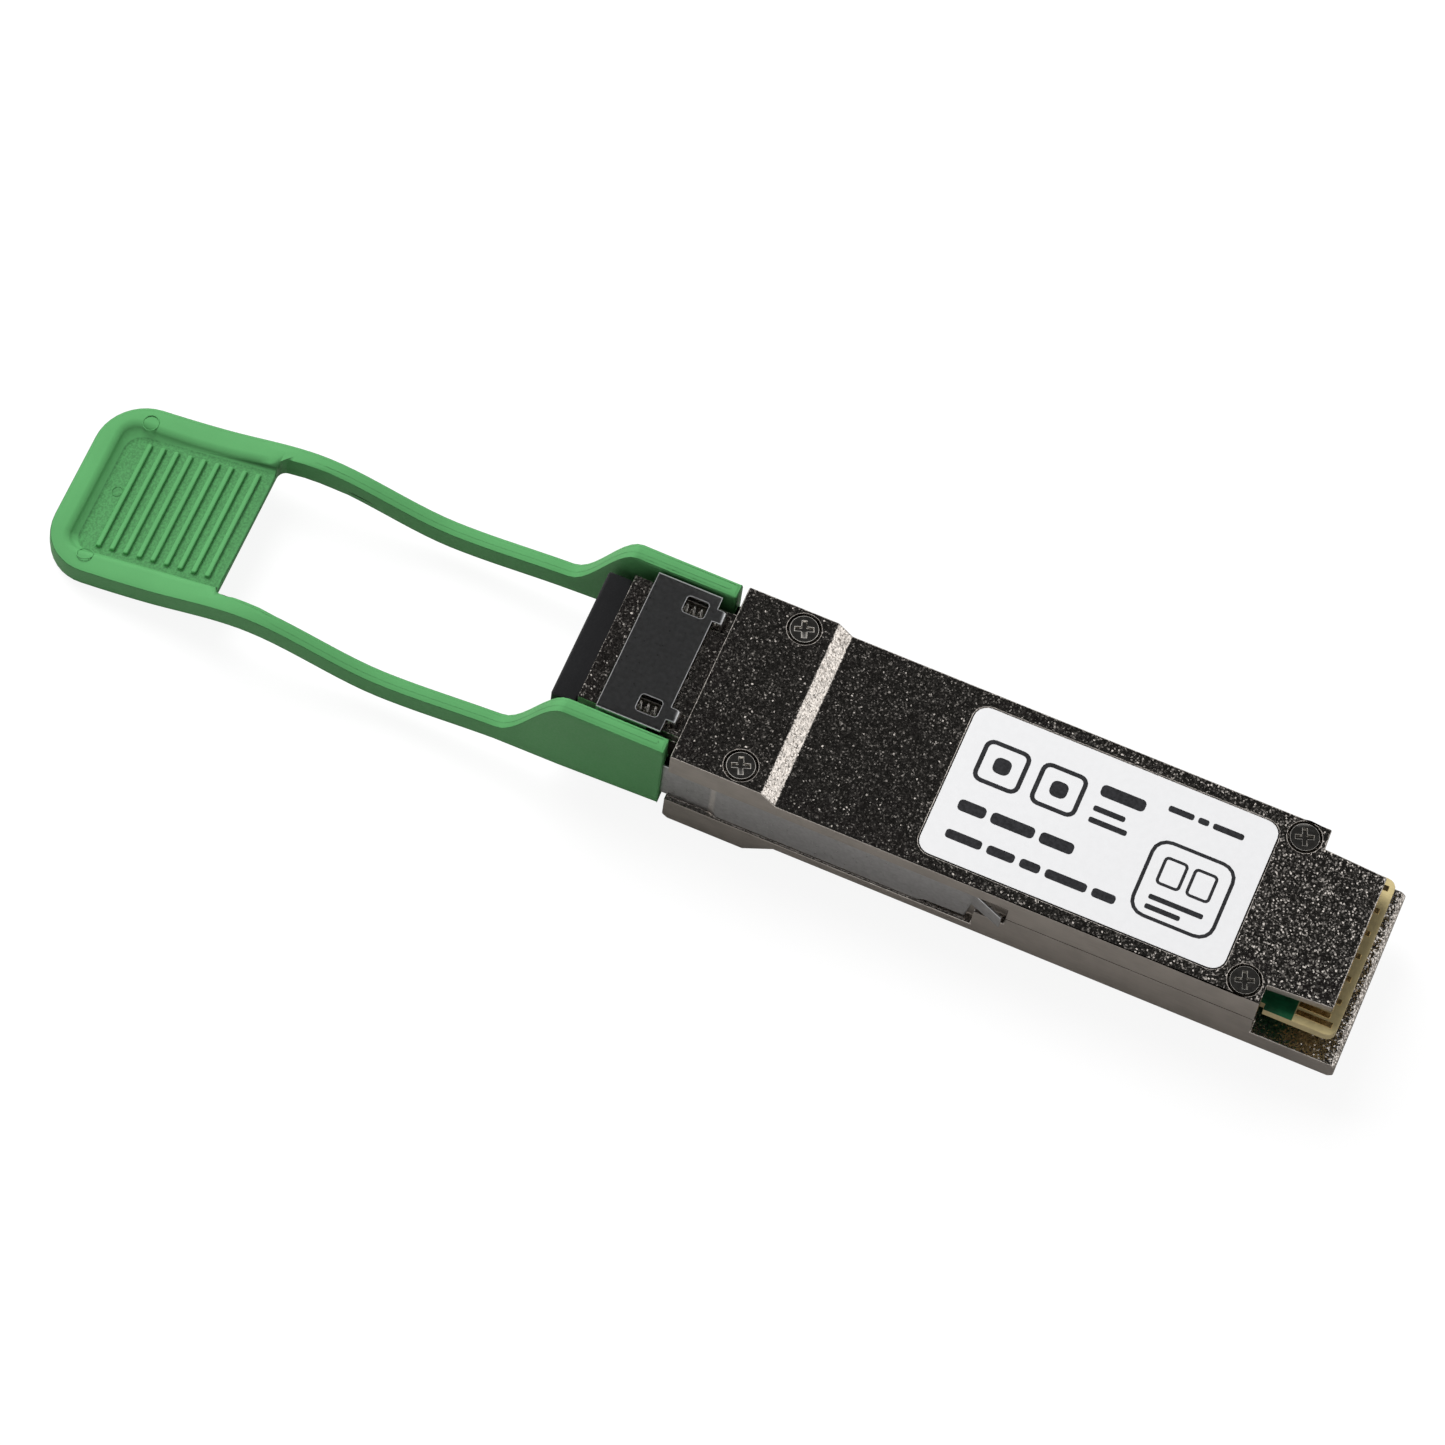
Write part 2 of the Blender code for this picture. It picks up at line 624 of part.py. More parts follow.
def gasket_groove(side):
    middle = HALF_WIDTH - SIDE_WALL / 2
    half = GASKET_WIDTH / 2 + SEAM
    return block(gasket_span(), span(side, middle - half, middle + half), (SEAM_TOP - GASKET_HEIGHT, PAST))


def gaskets(parent):
    """Conductive beads in the grooves of the lower housing's side walls."""
    start, end = gasket_span()
    half, low = GASKET_WIDTH / 2, SEAM_TOP - GASKET_HEIGHT + FILM_GAP
    for name, side in (("gasket_left", -1), ("gasket_right", 1)):
        body = block((start + SEAM, end - SEAM), (-half, half), (low, SEAM_TOP))
        bead = place(name, body, parent, "gasket_grey", (0, side * (HALF_WIDTH - SIDE_WALL / 2), 0))
        round_edges(bead, GASKET_ROUNDING)


def label(parent):
    sheet = prism(label_outline(), -LABEL_SINK - LABEL_THICKNESS, -LABEL_SINK, "Z")
    place("label", sheet, parent, "label_paper")


def screws(parent):
    """Cross-recess machine screws, heads flush with the cover."""
    for name, x, y, top in screw_places():
        at = (x, y, top)
        head = cylinder((0, 0), SCREW_HEAD / 2, -SCREW_HEAD_HEIGHT, -SCREW_HEAD_SINK)
        screw = place(name, head, parent, "screw_nickel", at)
        tip = -SCREW_HEAD_HEIGHT - SCREW_LENGTH
        shank = cylinder((0, 0), SCREW_SHANK / 2, tip, -SCREW_HEAD_HEIGHT + BITE, sides=20)
        weld(screw, place(f"{name}_shank", shank, parent, location=at))
        for turn in (0, 90):
            half = CROSS_WIDTH / 2
            slot = block((-CROSS_REACH, CROSS_REACH), (-half, half), (-CROSS_DEPTH, PAST))
            cross = place(f"{name}_slot_{turn}", slot, parent, location=at)
            cross.rotation_euler.z = math.radians(CROSS_TURN + turn)
            cut(screw, cross)
        smooth(screw)


# ---------------------------------------------------------------- optics


def receptacle(parent):
    """Black duplex receptacle: a face in front of the nose tube and a body inside it."""
    half = TUBE_HALF - SEAM
    rear = block(
        (-NOSE_LENGTH - PAST, RECEPTACLE_END), (-half, half), (FACE_BOTTOM + RECEPTACLE_STEP, -FACE_TOP)
    )
    body = place("lc_receptacle", rear, parent, "black_plastic")
    wide = NOSE_HALF + FACE_OVERHANG
    front = block((FACE_FRONT, -NOSE_LENGTH - SEAM), (-wide, wide), (FACE_BOTTOM, -FACE_TOP))
    face = place("receptacle_face", front, parent)
    round_edges(face, FACE_BEVEL)
    weld(body, face)
    z = -PORT_AXIS_DEPTH
    low = z - PORT_SIZE / 2
    for name, y in (("transmit", PORT_PITCH / 2), ("receive", -PORT_PITCH / 2)):
        across = (y - PORT_SIZE / 2, y + PORT_SIZE / 2)
        port = block((FACE_FRONT - PAST, PORT_END), across, (low, low + PORT_SIZE))
        cut(body, place(f"{name}_port", port, parent))
        across = (y - KEYWAY_WIDTH / 2, y + KEYWAY_WIDTH / 2)
        along = (FACE_FRONT - PAST, PORT_END - KEYWAY_STOP)
        keyway = block(along, across, (low - KEYWAY_HEIGHT, low + BITE))
        cut(body, place(f"{name}_keyway", keyway, parent))
        radius = BARREL_DIAMETER / 2 + CLEARANCE
        bore = cylinder((y, z), radius, PORT_END - PAST, RECEPTACLE_END + PAST, "X")
        cut(body, place(f"{name}_port_bore", bore, parent))
    return body


def barrel_profile():
    """(x, radius) round a barrel with two collars, which the clip goes between."""
    outer, bore, collar = BARREL_DIAMETER / 2, BARREL_BORE / 2, COLLAR_DIAMETER / 2
    start = PORT_END - BARREL_REACH
    second = CLIP_START + CLIP_THICKNESS + SEAM
    return [
        (start, bore + BARREL_LIP),
        (start, outer - BARREL_CHAMFER),
        (start + BARREL_CHAMFER, outer),
        (COLLAR_START, outer),
        (COLLAR_START, collar),
        (COLLAR_START + COLLAR_THICKNESS, collar),
        (COLLAR_START + COLLAR_THICKNESS, outer),
        (second, outer),
        (second, collar),
        (OPTIC_START - SEAM, collar),
        (OPTIC_START - SEAM, bore),
        (start + BARREL_LIP, bore),
    ]


def optics(parent):
    """For each of the transmit and receive sides: barrel, sub-assembly box and flexible circuit."""
    z, tall = -PORT_AXIS_DEPTH, OPTIC_HEIGHT / 2
    for name, side in (("transmitter", 1), ("receiver", -1)):
        barrel_at = (0, side * PORT_PITCH / 2, z)
        smooth(place(f"{name}_barrel", turned(barrel_profile()), parent, "screw_nickel", barrel_at))
        box = block((OPTIC_START, OPTIC_END), (-OPTIC_HALF, OPTIC_HALF), (-tall, tall))
        can = place(f"{name}_can", box, parent, "gold_plate", (0, side * OPTIC_Y, z))
        round_edges(can, OPTIC_ROUNDING)
        flexible_circuit(f"{name}_flex", side * OPTIC_Y, parent)


def flexible_circuit(name, y, parent):
    """A thin ribbon that rises from the can's rear wall onto the board's upper face."""
    start_x, start_z = OPTIC_END + SEAM, -PORT_AXIS_DEPTH - FLEX_DROP
    level_x, level_z = BOARD_START - FLEX_LANDING, -BOARD_DEPTH + SEAM
    lower = eased((start_x, start_z, 0.0), (level_x, level_z, 0.0), 10)
    lower += [(level_x, level_z), (BOARD_START + FLEX_REACH, level_z)]
    upper = [(x, z + FLEX_THICKNESS) for x, z in reversed(lower)]
    half = OPTIC_HALF - FLEX_INSET / 2
    place(name, prism(lower + upper, -half, half, "Y"), parent, "flex_amber", (0, y, 0))


def barrel_clip(parent):
    """The plate that drops over both barrels between their collars and holds them to the housing."""
    half = TUBE_HALF - SEAM - CLIP_INSET
    z = -PORT_AXIS_DEPTH
    body = block((CLIP_START, CLIP_START + CLIP_THICKNESS), (-half, half), (z - CLIP_BELOW, z + CLIP_ABOVE))
    plate = place("barrel_clip", body, parent, "spring_steel")
    radius = BARREL_DIAMETER / 2 + SEAM
    foot = z - CLIP_BELOW - PAST
    for name, y in (("transmitter", PORT_PITCH / 2), ("receiver", -PORT_PITCH / 2)):
        outline = [(y - radius, foot)] + arc((y, z), radius, 180, 0, 16) + [(y + radius, foot)]
        slot = prism(outline, CLIP_START - PAST, CLIP_START + CLIP_THICKNESS + PAST, "X")
        cut(plate, place(f"{name}_clip_slot", slot, parent))


# ---------------------------------------------------------------- board


def main_board(parent):
    """The circuit board, as wide as the hollow inside and as the card edge outside."""
    half = HOLLOW_HALF - CLEARANCE
    card = CARD_WIDTH / 2
    notch = REAR_SCREW_Y - SCREW_BOSS / 2 - CLEARANCE
    before, after = REAR_SCREW_X - BOARD_NOTCH, REAR_SCREW_X + BOARD_NOTCH
    shoulder = COVER_LENGTH + CARD_SHOULDER
    right = [
        (BOARD_START, half),
        (before, half),
        (before, notch),
        (after, notch),
        (after, half),
        (shoulder, half),
        (shoulder, card),
    ]
    right += arc((CARD_END - CARD_CORNER, card - CARD_CORNER), CARD_CORNER, 90, 0, 4)
    left = [(x, -y) for x, y in reversed(right)]
    board = prism(right + left, -BOARD_DEPTH - BOARD_THICKNESS, -BOARD_DEPTH, "Z")
    place("main_board", board, parent, "board_green")


def chip(name, finish_name, behind, y, size, parent):
    """A package on the board; behind is how far its middle lies from the board's front edge."""
    length, width, height = size
    body = block((-length / 2, length / 2), (-width / 2, width / 2), (0, height))
    at = (BOARD_START + behind, y, -BOARD_DEPTH + SEAM)
    round_edges(place(name, body, parent, finish_name, at), CHIP_ROUNDING, 1)


def chips(parent):
    size = (PROCESSOR_SIZE, PROCESSOR_SIZE, PROCESSOR_HEIGHT)
    chip("signal_processor", "chip_black", PROCESSOR_X, 0, size, parent)
    packages = [
        ("laser_driver", "chip_black", 6.2, 3.1, (4.0, 4.0, 0.75)),
        ("receive_amplifier", "chip_black", 6.2, -3.1, (3.0, 3.0, 0.75)),
        ("microcontroller", "chip_black", 24.0, -2.6, (6.0, 6.0, 0.8)),
        ("clock_oscillator", "gold_plate", 22.0, 4.6, (2.5, 2.0, 0.7)),
        ("power_inductor_1", "ferrite_grey", 27.0, 4.2, (3.0, 3.0, 1.1)),
        ("power_inductor_2", "ferrite_grey", 31.0, 4.2, (3.0, 3.0, 1.1)),
        ("power_regulator", "chip_black", 30.6, -3.8, (3.5, 3.5, 0.8)),
    ]
    for name, finish_name, behind, y, millimetres in packages:
        size = [length * MM for length in millimetres]
        chip(name, finish_name, behind * MM, y * MM, size, parent)


def thermal_pads(parent):
    """Soft pads that fill the gap between hot parts and the roof."""
    roof = -ROOF - FILM_GAP
    x, half = BOARD_START + PROCESSOR_X, PROCESSOR_PAD / 2
    low = -BOARD_DEPTH + SEAM + PROCESSOR_HEIGHT + FILM_GAP
    processor = block((x - half, x + half), (-half, half), (low, roof))
    place("processor_pad", processor, parent, "thermal_grey")
    along = (OPTIC_START + OPTICS_PAD_INSET, OPTIC_END - OPTICS_PAD_INSET)
    half = OPTIC_OUTER - OPTICS_PAD_MARGIN
    low = -PORT_AXIS_DEPTH + OPTIC_HEIGHT / 2 + FILM_GAP
    place("optics_pad", block(along, (-half, half), (low, roof)), parent, "thermal_grey")


# ---------------------------------------------------------------- latch


def latch_leg(side):
    """One side of the latch as a bent strip: (x, distance from the middle, top, bottom) at each bend."""
    skirt_top = PLATE_TOP - SHEET / 2
    top, low = -RAIL_TOP, RAIL_BOTTOM
    inner, trimmed = TRACK_RAIL_Y + RAIL_EASE, RAIL_BOTTOM + RAIL_TRIM
    stations = [
        (-PLATE_FRONT, PLATE_HALF, skirt_top, -SKIRT_DEPTH),
        (-SKIRT_END_X, PLATE_HALF, skirt_top, -SKIRT_DEPTH),
        (-SKIRT_END_X + SKIRT_STEP, PLATE_HALF, top, low),
        (-RAIL_JOIN_X, TRACK_RAIL_Y, top, low),
        (RAIL_STEP_X, TRACK_RAIL_Y, top, low),
        (RAIL_STEP_X + STEP_LENGTH, RAIL_Y, top, low),
        (RAIL_BEND_X, RAIL_Y, top, low),
        (RAIL_BEND_X + BEND_LENGTH, RAIL_Y - RAIL_EASE, top, trimmed),
        (RAIL_END_X - STEP_LENGTH, inner, top, trimmed),
        (RAIL_END_X - STEP_LENGTH + BEND_LENGTH, inner, HOOK_TOP, HOOK_TOP - HOOK_HEIGHT),
        (HOOK_END_X, RAIL_Y + HOOK_FLARE, HOOK_TOP - HOOK_TAPER, HOOK_TOP - HOOK_HEIGHT),
    ]
    mesh = bmesh.new()
    rings = []
    for x, outer, high, bottom in stations:
        ring = [(outer, bottom), (outer, high), (outer - SHEET, high), (outer - SHEET, bottom)]
        rings.append([mesh.verts.new((x, side * y, z)) for y, z in ring])
    skin(mesh, rings)
    return mesh


def spring_pusher(side):
    """A tongue that runs back from the plate and bends down behind the spring."""
    centre = (-PUSHER_REAR - PUSHER_BEND, PLATE_TOP - PUSHER_BEND)
    low = PLATE_TOP - PUSHER_DEPTH
    root = -PLATE_REAR - BITE
    outline = [(root, PLATE_TOP - SHEET), (root, PLATE_TOP)]
    outline += arc(centre, PUSHER_BEND, 90, 0, 5)
    outline += [(-PUSHER_REAR, low), (-PUSHER_REAR - SHEET, low)]
    outline += arc(centre, PUSHER_BEND - SHEET, 0, 90, 3)
    middle = side * SPRING_Y
    return prism(outline, middle - PUSHER_WIDTH / 2, middle + PUSHER_WIDTH / 2, "Y")


def spring_window(side):
    """The hole in the plate over a return spring."""
    x, y = -WINDOW_X, side * SPRING_Y
    along = (x - WINDOW_LENGTH / 2, x + WINDOW_LENGTH / 2)
    across = (y - WINDOW_WIDTH / 2, y + WINDOW_WIDTH / 2)
    outline = rounded_rectangle(along, across, WINDOW_CORNER, 3)
    return prism(outline, PLATE_TOP - PAST, PLATE_TOP + PAST, "Z")


def latch_bracket(parent):
    """Sheet-steel latch: a plate over the nose, two legs along the housing and two spring pushers."""
    sheet = block((-PLATE_FRONT, -PLATE_REAR), (-PLATE_HALF, PLATE_HALF), (PLATE_TOP - SHEET, PLATE_TOP))
    plate = place("latch_bracket", sheet, parent, "spring_steel")
    for name, side in (("left", -1), ("right", 1)):
        weld(plate, place(f"latch_leg_{name}", latch_leg(side), parent))
        weld(plate, place(f"spring_pusher_{name}", spring_pusher(side), parent))
        cut(plate, place(f"spring_window_{name}", spring_window(side), parent))
    return plate


def return_springs(parent):
    """Coil springs between the deck's front pocket wall and the latch's pushers."""
    radius = (SPRING_DIAMETER - SPRING_WIRE) / 2
    z = POCKET_FLOOR + SPRING_DIAMETER / 2 + SEAM
    per_turn = 12
    count = SPRING_TURNS * per_turn
    run = SPRING_REAR - SPRING_FRONT - SPRING_WIRE
    for name, side in (("return_spring_left", -1), ("return_spring_right", 1)):
        curve = bpy.data.curves.new(name, "CURVE")
        curve.dimensions = "3D"
        curve.bevel_depth = SPRING_WIRE / 2
        curve.bevel_resolution = 1
        curve.use_fill_caps = True
        wire = curve.splines.new("POLY")
        wire.points.add(count)
        for i, point in enumerate(wire.points):
            turn = 2 * math.pi * i / per_turn
            point.co = (run * i / count, radius * math.cos(turn), radius * math.sin(turn), 1)
        curve.materials.append(finish("spring_steel"))
        spring = bpy.data.objects.new(name, curve)
        spring.location = (SPRING_FRONT + SPRING_WIRE / 2, side * SPRING_Y, z)
        spring.parent = parent
        bpy.context.collection.objects.link(spring)


# ---------------------------------------------------------------- pull tab


def tab_crest_line():
    """The tab's upper line in side view, from the cheek's rear to the end of the grip."""
    stations = [
        (CHEEK_FRONT, CHEEK_RISE, 0.0),
        (CHEEK_FRONT - ARM_START, -ARM_START_DROP, ARM_START_SLOPE),
        (CHEEK_FRONT - ARM_TROUGH, -ARM_TROUGH_DROP, 0.0),
        (CHEEK_FRONT - ARM_CREST, -ARM_CREST_DROP, 0.0),
        (CHEEK_FRONT - PAD_START, -PAD_START_DROP, PAD_SLOPE),
        (TAB_TIP, -TAB_END_DROP, PAD_SLOPE / 2),
    ]
    points = [(-CHEEK_REAR_X, CHEEK_RISE)]
    for here, there in zip(stations, stations[1:]):
        points += eased(here, there, 10)
    points.append(stations[-1][:2])
    return points


def tab_side_profile():
    top = tab_crest_line()
    under = [(x, z - TAB_THICKNESS) for x, z in reversed(top) if x <= CHEEK_FRONT - ARM_START]
    return top + under + [(-CHEEK_REAR_X, -CHEEK_DEPTH)]


def tab_plan():
    """Outline seen from above, without the loop: round corners at the grip, square at the nose."""
    right = arc((TAB_TIP + TAB_CORNER, TAB_HALF - TAB_CORNER), TAB_CORNER, 180, 90, 10)
    right += [(CHEEK_FRONT - ARM_START, TAB_HALF), (CHEEK_FRONT, HALF_WIDTH), (-CHEEK_REAR_X, HALF_WIDTH)]
    return right + [(x, -y) for x, y in reversed(right)]


def tab_loop():
    """The opening between the arms, which runs out to the rear between the cheeks."""
    inner = TAB_HALF - TAB_ARM
    right = arc((LOOP_TIP + LOOP_CORNER, inner - LOOP_CORNER), LOOP_CORNER, 180, 90, 5)
    right += [(CHEEK_FRONT - ARM_START, inner), (CHEEK_FRONT, CHEEK_INNER), (PAST, CHEEK_INNER)]
    return right + [(x, -y) for x, y in reversed(right)]


def dish_base(x):
    """Height of the dish's base, which follows the grip's slope."""
    return -RIB_FIRST_DROP - RIB_HEIGHT + PAD_SLOPE * (x - RIB_FIRST_X)


def grip_dish():
    """A cutter with leaning walls and a sloping flat base, open towards the loop."""
    half, front = TAB_HALF - PAD_RIM - PAD_WALL, TAB_TIP + PAD_RIM + PAD_WALL
    rear = LOOP_TIP + 3 * PAST
    mesh = bmesh.new()
    rings = []
    for lean, lift in ((0, 0), (PAD_WALL * DISH_CLEAR / DISH_WALL, DISH_CLEAR)):
        outline = rounded_rectangle((front - lean, rear), (-half - lean, half + lean), DISH_CORNER)
        rings.append([mesh.verts.new((x, y, dish_base(x) + lift)) for x, y in outline])
    skin(mesh, rings)
    return mesh


def grip_ribs():
    """Straight ribs across the grip, standing out of the dish's base."""
    parts = []
    half = RIB_WIDTH / 2
    lean = PAD_SLOPE * half
    for i in range(RIB_COUNT):
        x = RIB_FIRST_X - RIB_PITCH * i
        base = dish_base(x) - RIB_ROOT
        crown = dish_base(x) + RIB_HEIGHT
        outline = [
            (x - half, base - lean),
            (x + half, base + lean),
            (x + half, crown + lean),
            (x - half, crown - lean),
        ]
        parts.append(prism(outline, -RIB_LENGTH / 2, RIB_LENGTH / 2, "Y"))
    return merged(*parts)


def leg_slot(side):
    """The slot in a cheek's inner face that the latch leg comes out through."""
    across = span(side, CHEEK_INNER - PAST, TRACK_RAIL_Y + SEAM)
    return block((-LEG_SLOT_X, PAST), across, (RAIL_BOTTOM - SEAM, -RAIL_TOP + SEAM))


def pull_tab(parent):
    """Moulded tab: side profile crossed with the plan outline, then the loop, dish, ribs and slots."""
    half = HALF_WIDTH + PAST
    low, high = -BODY_HEIGHT - 12 * PAST, CHEEK_RISE + PAST
    tab = place("pull_tab", prism(tab_side_profile(), -half, half, "Y"), parent, "green_plastic")
    combine(tab, place("tab_plan", prism(tab_plan(), low, high, "Z"), parent), "INTERSECT")
    cut(tab, place("tab_loop", prism(tab_loop(), low, high, "Z"), parent))
    cut(tab, place("grip_dish", grip_dish(), parent))
    weld(tab, place("grip_ribs", grip_ribs(), parent))
    cut(tab, place("leg_slots", both_sides(leg_slot), parent))
    smooth(tab, 25)
    return tab


# ---------------------------------------------------------------- assembly


def main():
    clear_scene()
    lowest = tab_crest_line()[-1][1] - TAB_THICKNESS
    middle = (APRON_END + TAB_TIP) / 2
    module_frame = empty("module_frame", (-middle, 0, -lowest))
    release_slide = empty("release_slide", (0, 0, 0), module_frame)
    upper_cover(module_frame)
    lower_housing(module_frame)
    gaskets(module_frame)
    label(module_frame)
    screws(module_frame)
    receptacle(module_frame)
    optics(module_frame)
    barrel_clip(module_frame)
    main_board(module_frame)
    chips(module_frame)
    thermal_pads(module_frame)
    return_springs(module_frame)
    latch_bracket(release_slide)
    pull_tab(release_slide)


main()
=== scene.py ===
"""Looks of a pluggable optical transceiver module: finished pieces, finishes and a plain studio."""

import math

import bpy
from mathutils import Matrix, Vector


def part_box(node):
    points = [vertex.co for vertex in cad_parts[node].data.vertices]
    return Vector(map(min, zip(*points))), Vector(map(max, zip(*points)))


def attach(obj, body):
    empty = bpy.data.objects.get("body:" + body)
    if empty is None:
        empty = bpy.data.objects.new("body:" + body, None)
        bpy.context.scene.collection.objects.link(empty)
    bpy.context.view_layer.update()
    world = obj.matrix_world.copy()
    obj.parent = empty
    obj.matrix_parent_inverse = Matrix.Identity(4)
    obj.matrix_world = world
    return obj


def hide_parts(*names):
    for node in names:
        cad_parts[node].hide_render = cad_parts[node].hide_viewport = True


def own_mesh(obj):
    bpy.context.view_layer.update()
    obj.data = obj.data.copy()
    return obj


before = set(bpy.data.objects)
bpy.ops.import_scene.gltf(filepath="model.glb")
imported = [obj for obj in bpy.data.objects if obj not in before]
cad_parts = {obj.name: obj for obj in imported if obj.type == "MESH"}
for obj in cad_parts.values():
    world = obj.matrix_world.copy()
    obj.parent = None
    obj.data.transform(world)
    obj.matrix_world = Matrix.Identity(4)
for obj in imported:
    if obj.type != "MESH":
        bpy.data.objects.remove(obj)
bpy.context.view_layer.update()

bl_info = {
    "name": "Optical transceiver module",
    "version": (1, 0, 0),
    "blender": (4, 5, 0),
    "location": "3D View > Sidebar > Transceiver",
    "description": "Finishes a pluggable optical transceiver module with a pull-tab release",
    "category": "Object",
}

MM = 0.001
BODY = "module_body"
LATCH = "release_latch"

COVER_LOW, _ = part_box("upper_cover")
LABEL_LOW, LABEL_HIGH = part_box("label")
BOARD_LOW, BOARD_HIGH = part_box("main_board")
TAB_LOW, TAB_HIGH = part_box("pull_tab")
_, LATCH_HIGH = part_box("latch_bracket")

# Castings and latch
SEAM_BAND = 0.08 * MM  # edges this near to the middle of the seam lie on it
SEAM_EDGE = 0.03 * MM
SEAM_HALF = 0.05 * MM
LEVEL = 0.05 * MM  # edges this near to the plate's top face belong to it
PLATE_SIDE = 7 * MM  # the plate's long edges lie further out than this
LEG_BEND = 3.2 * MM  # where each latch leg is set outwards, and where a highlight is painted on
BLAST_FROM = 10 * MM  # the blasted grain grows stronger from here along the body
BLAST_TO = 55 * MM

# Pull tab, along from the tip of its grip and across from its middle line
DISH_PLACE = Vector((-47.04, 0, 4.8)) * MM  # a point of the dish's floor
DISH_SLOPE = 0.2514
DISH_RIM = 0.6 * MM  # the dish's rim lies more than this above its floor
DISH_END = 16.6 * MM
DISH_SKIN = 0.20 * MM  # the etched base, with its painted shade, ends this far above its plane
DISH_HALF = 6.4 * MM
DISH_FADE = 0.5 * MM
GRIP_START = 0.9 * MM
GRIP_END = 17 * MM
GRIP_HALF = 7.3 * MM
LOOP_START = 16 * MM
LOOP_CORNER = 18.4 * MM  # the loop's round corners end here
ARM_HALF = 8.3 * MM  # edges nearer to the middle line are inner ones
ARM_START = 15 * MM
ARM_RISE = 6 * MM  # the inner edges come to their full rounding over this length
RIB_START = 4.2 * MM
RIB_HALF = 5.8 * MM
END_FOLDS = 4 * MM  # the faint folds in the grip's end lie within this
CHEEK_REAR = 3.5 * MM
CHEEK_TOP = 3 * MM
CHEEK_EDGE = 0.06 * MM
TAB_MERGE = 0.07 * MM
RING_WIRE = 0.05 * MM

# Board
MASK_END = 4.0 * MM  # the bare strip that holds the contacts
CONTACT_ROOT = 3.9 * MM
CONTACT_END = 0.55 * MM
CONTACT_STEP = 0.45 * MM  # by which two of every three contacts are shorter
CONTACT_FILM = 0.03 * MM
CONTACT_SHARE = 0.68  # of the pitch
CONTACT_EDGE = 0.012 * MM

# Studio, in metres; the camera has its picture's right and up, its place, and a lens in millimetres
FLOOR_DROP = 0.02 * MM
FLOOR_SIZE = 6
KEY_PLACE = (-0.45, 0.35, 0.75)
KEY_SIZE = 0.7
CAMERA_RIGHT = Vector((0.92096, 0.38311, 0.07118))
CAMERA_UP = Vector((-0.37428, 0.81890, 0.43511))
CAMERA_PLACE = (0.06748, -0.26304, 0.55788)
CAMERA_SENSOR = 36
CAMERA_LENS = 171.97

TAU = 2 * math.pi
MIDDLE = (0.5, 0.5, 0.5)  # of a noise colour
FLOAT = "NodeSocketFloat"
VECTOR = "NodeSocketVector"
WEIGHT = "bevel_weight_edge"


# ---------------------------------------------------------------- settings


def length(name, description, value):
    return bpy.props.FloatProperty(
        name=name, description=description, default=value, min=0, unit="LENGTH"
    )


class TransceiverSizes(bpy.types.PropertyGroup):
    """Sizes of the fine shapes, in metres."""

    cast_edge: length("Casting edge", "Rounding of the die-cast edges", 0.13 * MM)
    sheet_edge: length("Sheet edge", "Rounding of the sheet's cut edges", 0.11 * MM)
    sheet_bend: length("Sheet bend", "Outer radius of the sheet's bends", 0.28 * MM)
    tab_edge: length("Tab edge", "Rounding of the pull tab's long edges", 0.55 * MM)
    tab_fillet: length("Dish rim", "Rounding of the dish's rim", 0.45 * MM)
    rib_edge: length("Rib edge", "Rounding of the grip's ribs", 0.18 * MM)
    moulding_edge: length("Receptacle edge", "Rounding of the receptacle", 0.12 * MM)
    screw_edge: length("Screw edge", "Rounding of the screw heads", 0.13 * MM)
    label_edge: length("Label edge", "Rounding of the label's edge", 0.03 * MM)
    board_edge: length("Board edge", "Rounding of the board's edge", 0.06 * MM)
    spring_wire: length("Spring wire", "Diameter of the return springs' wire", 0.24 * MM)
    print_film: length("Print", "Thickness of the ink on the label", 0.012 * MM)
    contact_pitch: length("Contact pitch", "Spacing of the card edge's contacts", 0.8 * MM)
    spring_turns: bpy.props.IntProperty(
        name="Spring turns", description="Turns in each return spring", default=7
    )
    contact_count: bpy.props.IntProperty(name="Contacts", description="Contacts on each face", default=19)


def colour(name, description, value):
    return bpy.props.FloatVectorProperty(
        name=name, description=description, default=value, size=3, min=0, max=1, subtype="COLOR"
    )


class TransceiverColours(bpy.types.PropertyGroup):
    """Base colours of the finishes, linear."""

    nickel: colour("Cast nickel", "Nickel-plated castings", (0.60, 0.555, 0.51))
    steel: colour("Sheet steel", "Latch sheet", (0.56, 0.565, 0.575))
    screw: colour("Screw nickel", "Screws and barrels", (0.80, 0.77, 0.72))
    tab: colour("Pull tab", "Green moulding", (0.108, 0.372, 0.130))
    black: colour("Black moulding", "Optical receptacle", (0.012, 0.012, 0.013))
    label: colour("Label", "Label stock", (0.90, 0.90, 0.91))
    ink: colour("Ink", "Print on the label", (0.02, 0.02, 0.022))
    mask: colour("Solder mask", "Coated part of the board", (0.010, 0.11, 0.045))
    laminate: colour("Laminate", "Bare part of the board", (0.74, 0.61, 0.31))
    gold: colour("Gold", "Contacts and cans", (0.80, 0.56, 0.24))
    copper: colour("Copper", "Tracks under the film of the flexible circuits", (0.45, 0.20, 0.05))
    package: colour("Package", "Moulded chips", (0.02, 0.02, 0.022))
    ferrite: colour("Ferrite", "Inductor cores", (0.07, 0.07, 0.075))
    pad: colour("Thermal pad", "Filled silicone", (0.33, 0.36, 0.42))
    gasket: colour("Gasket", "Conductive elastomer", (0.16, 0.16, 0.165))


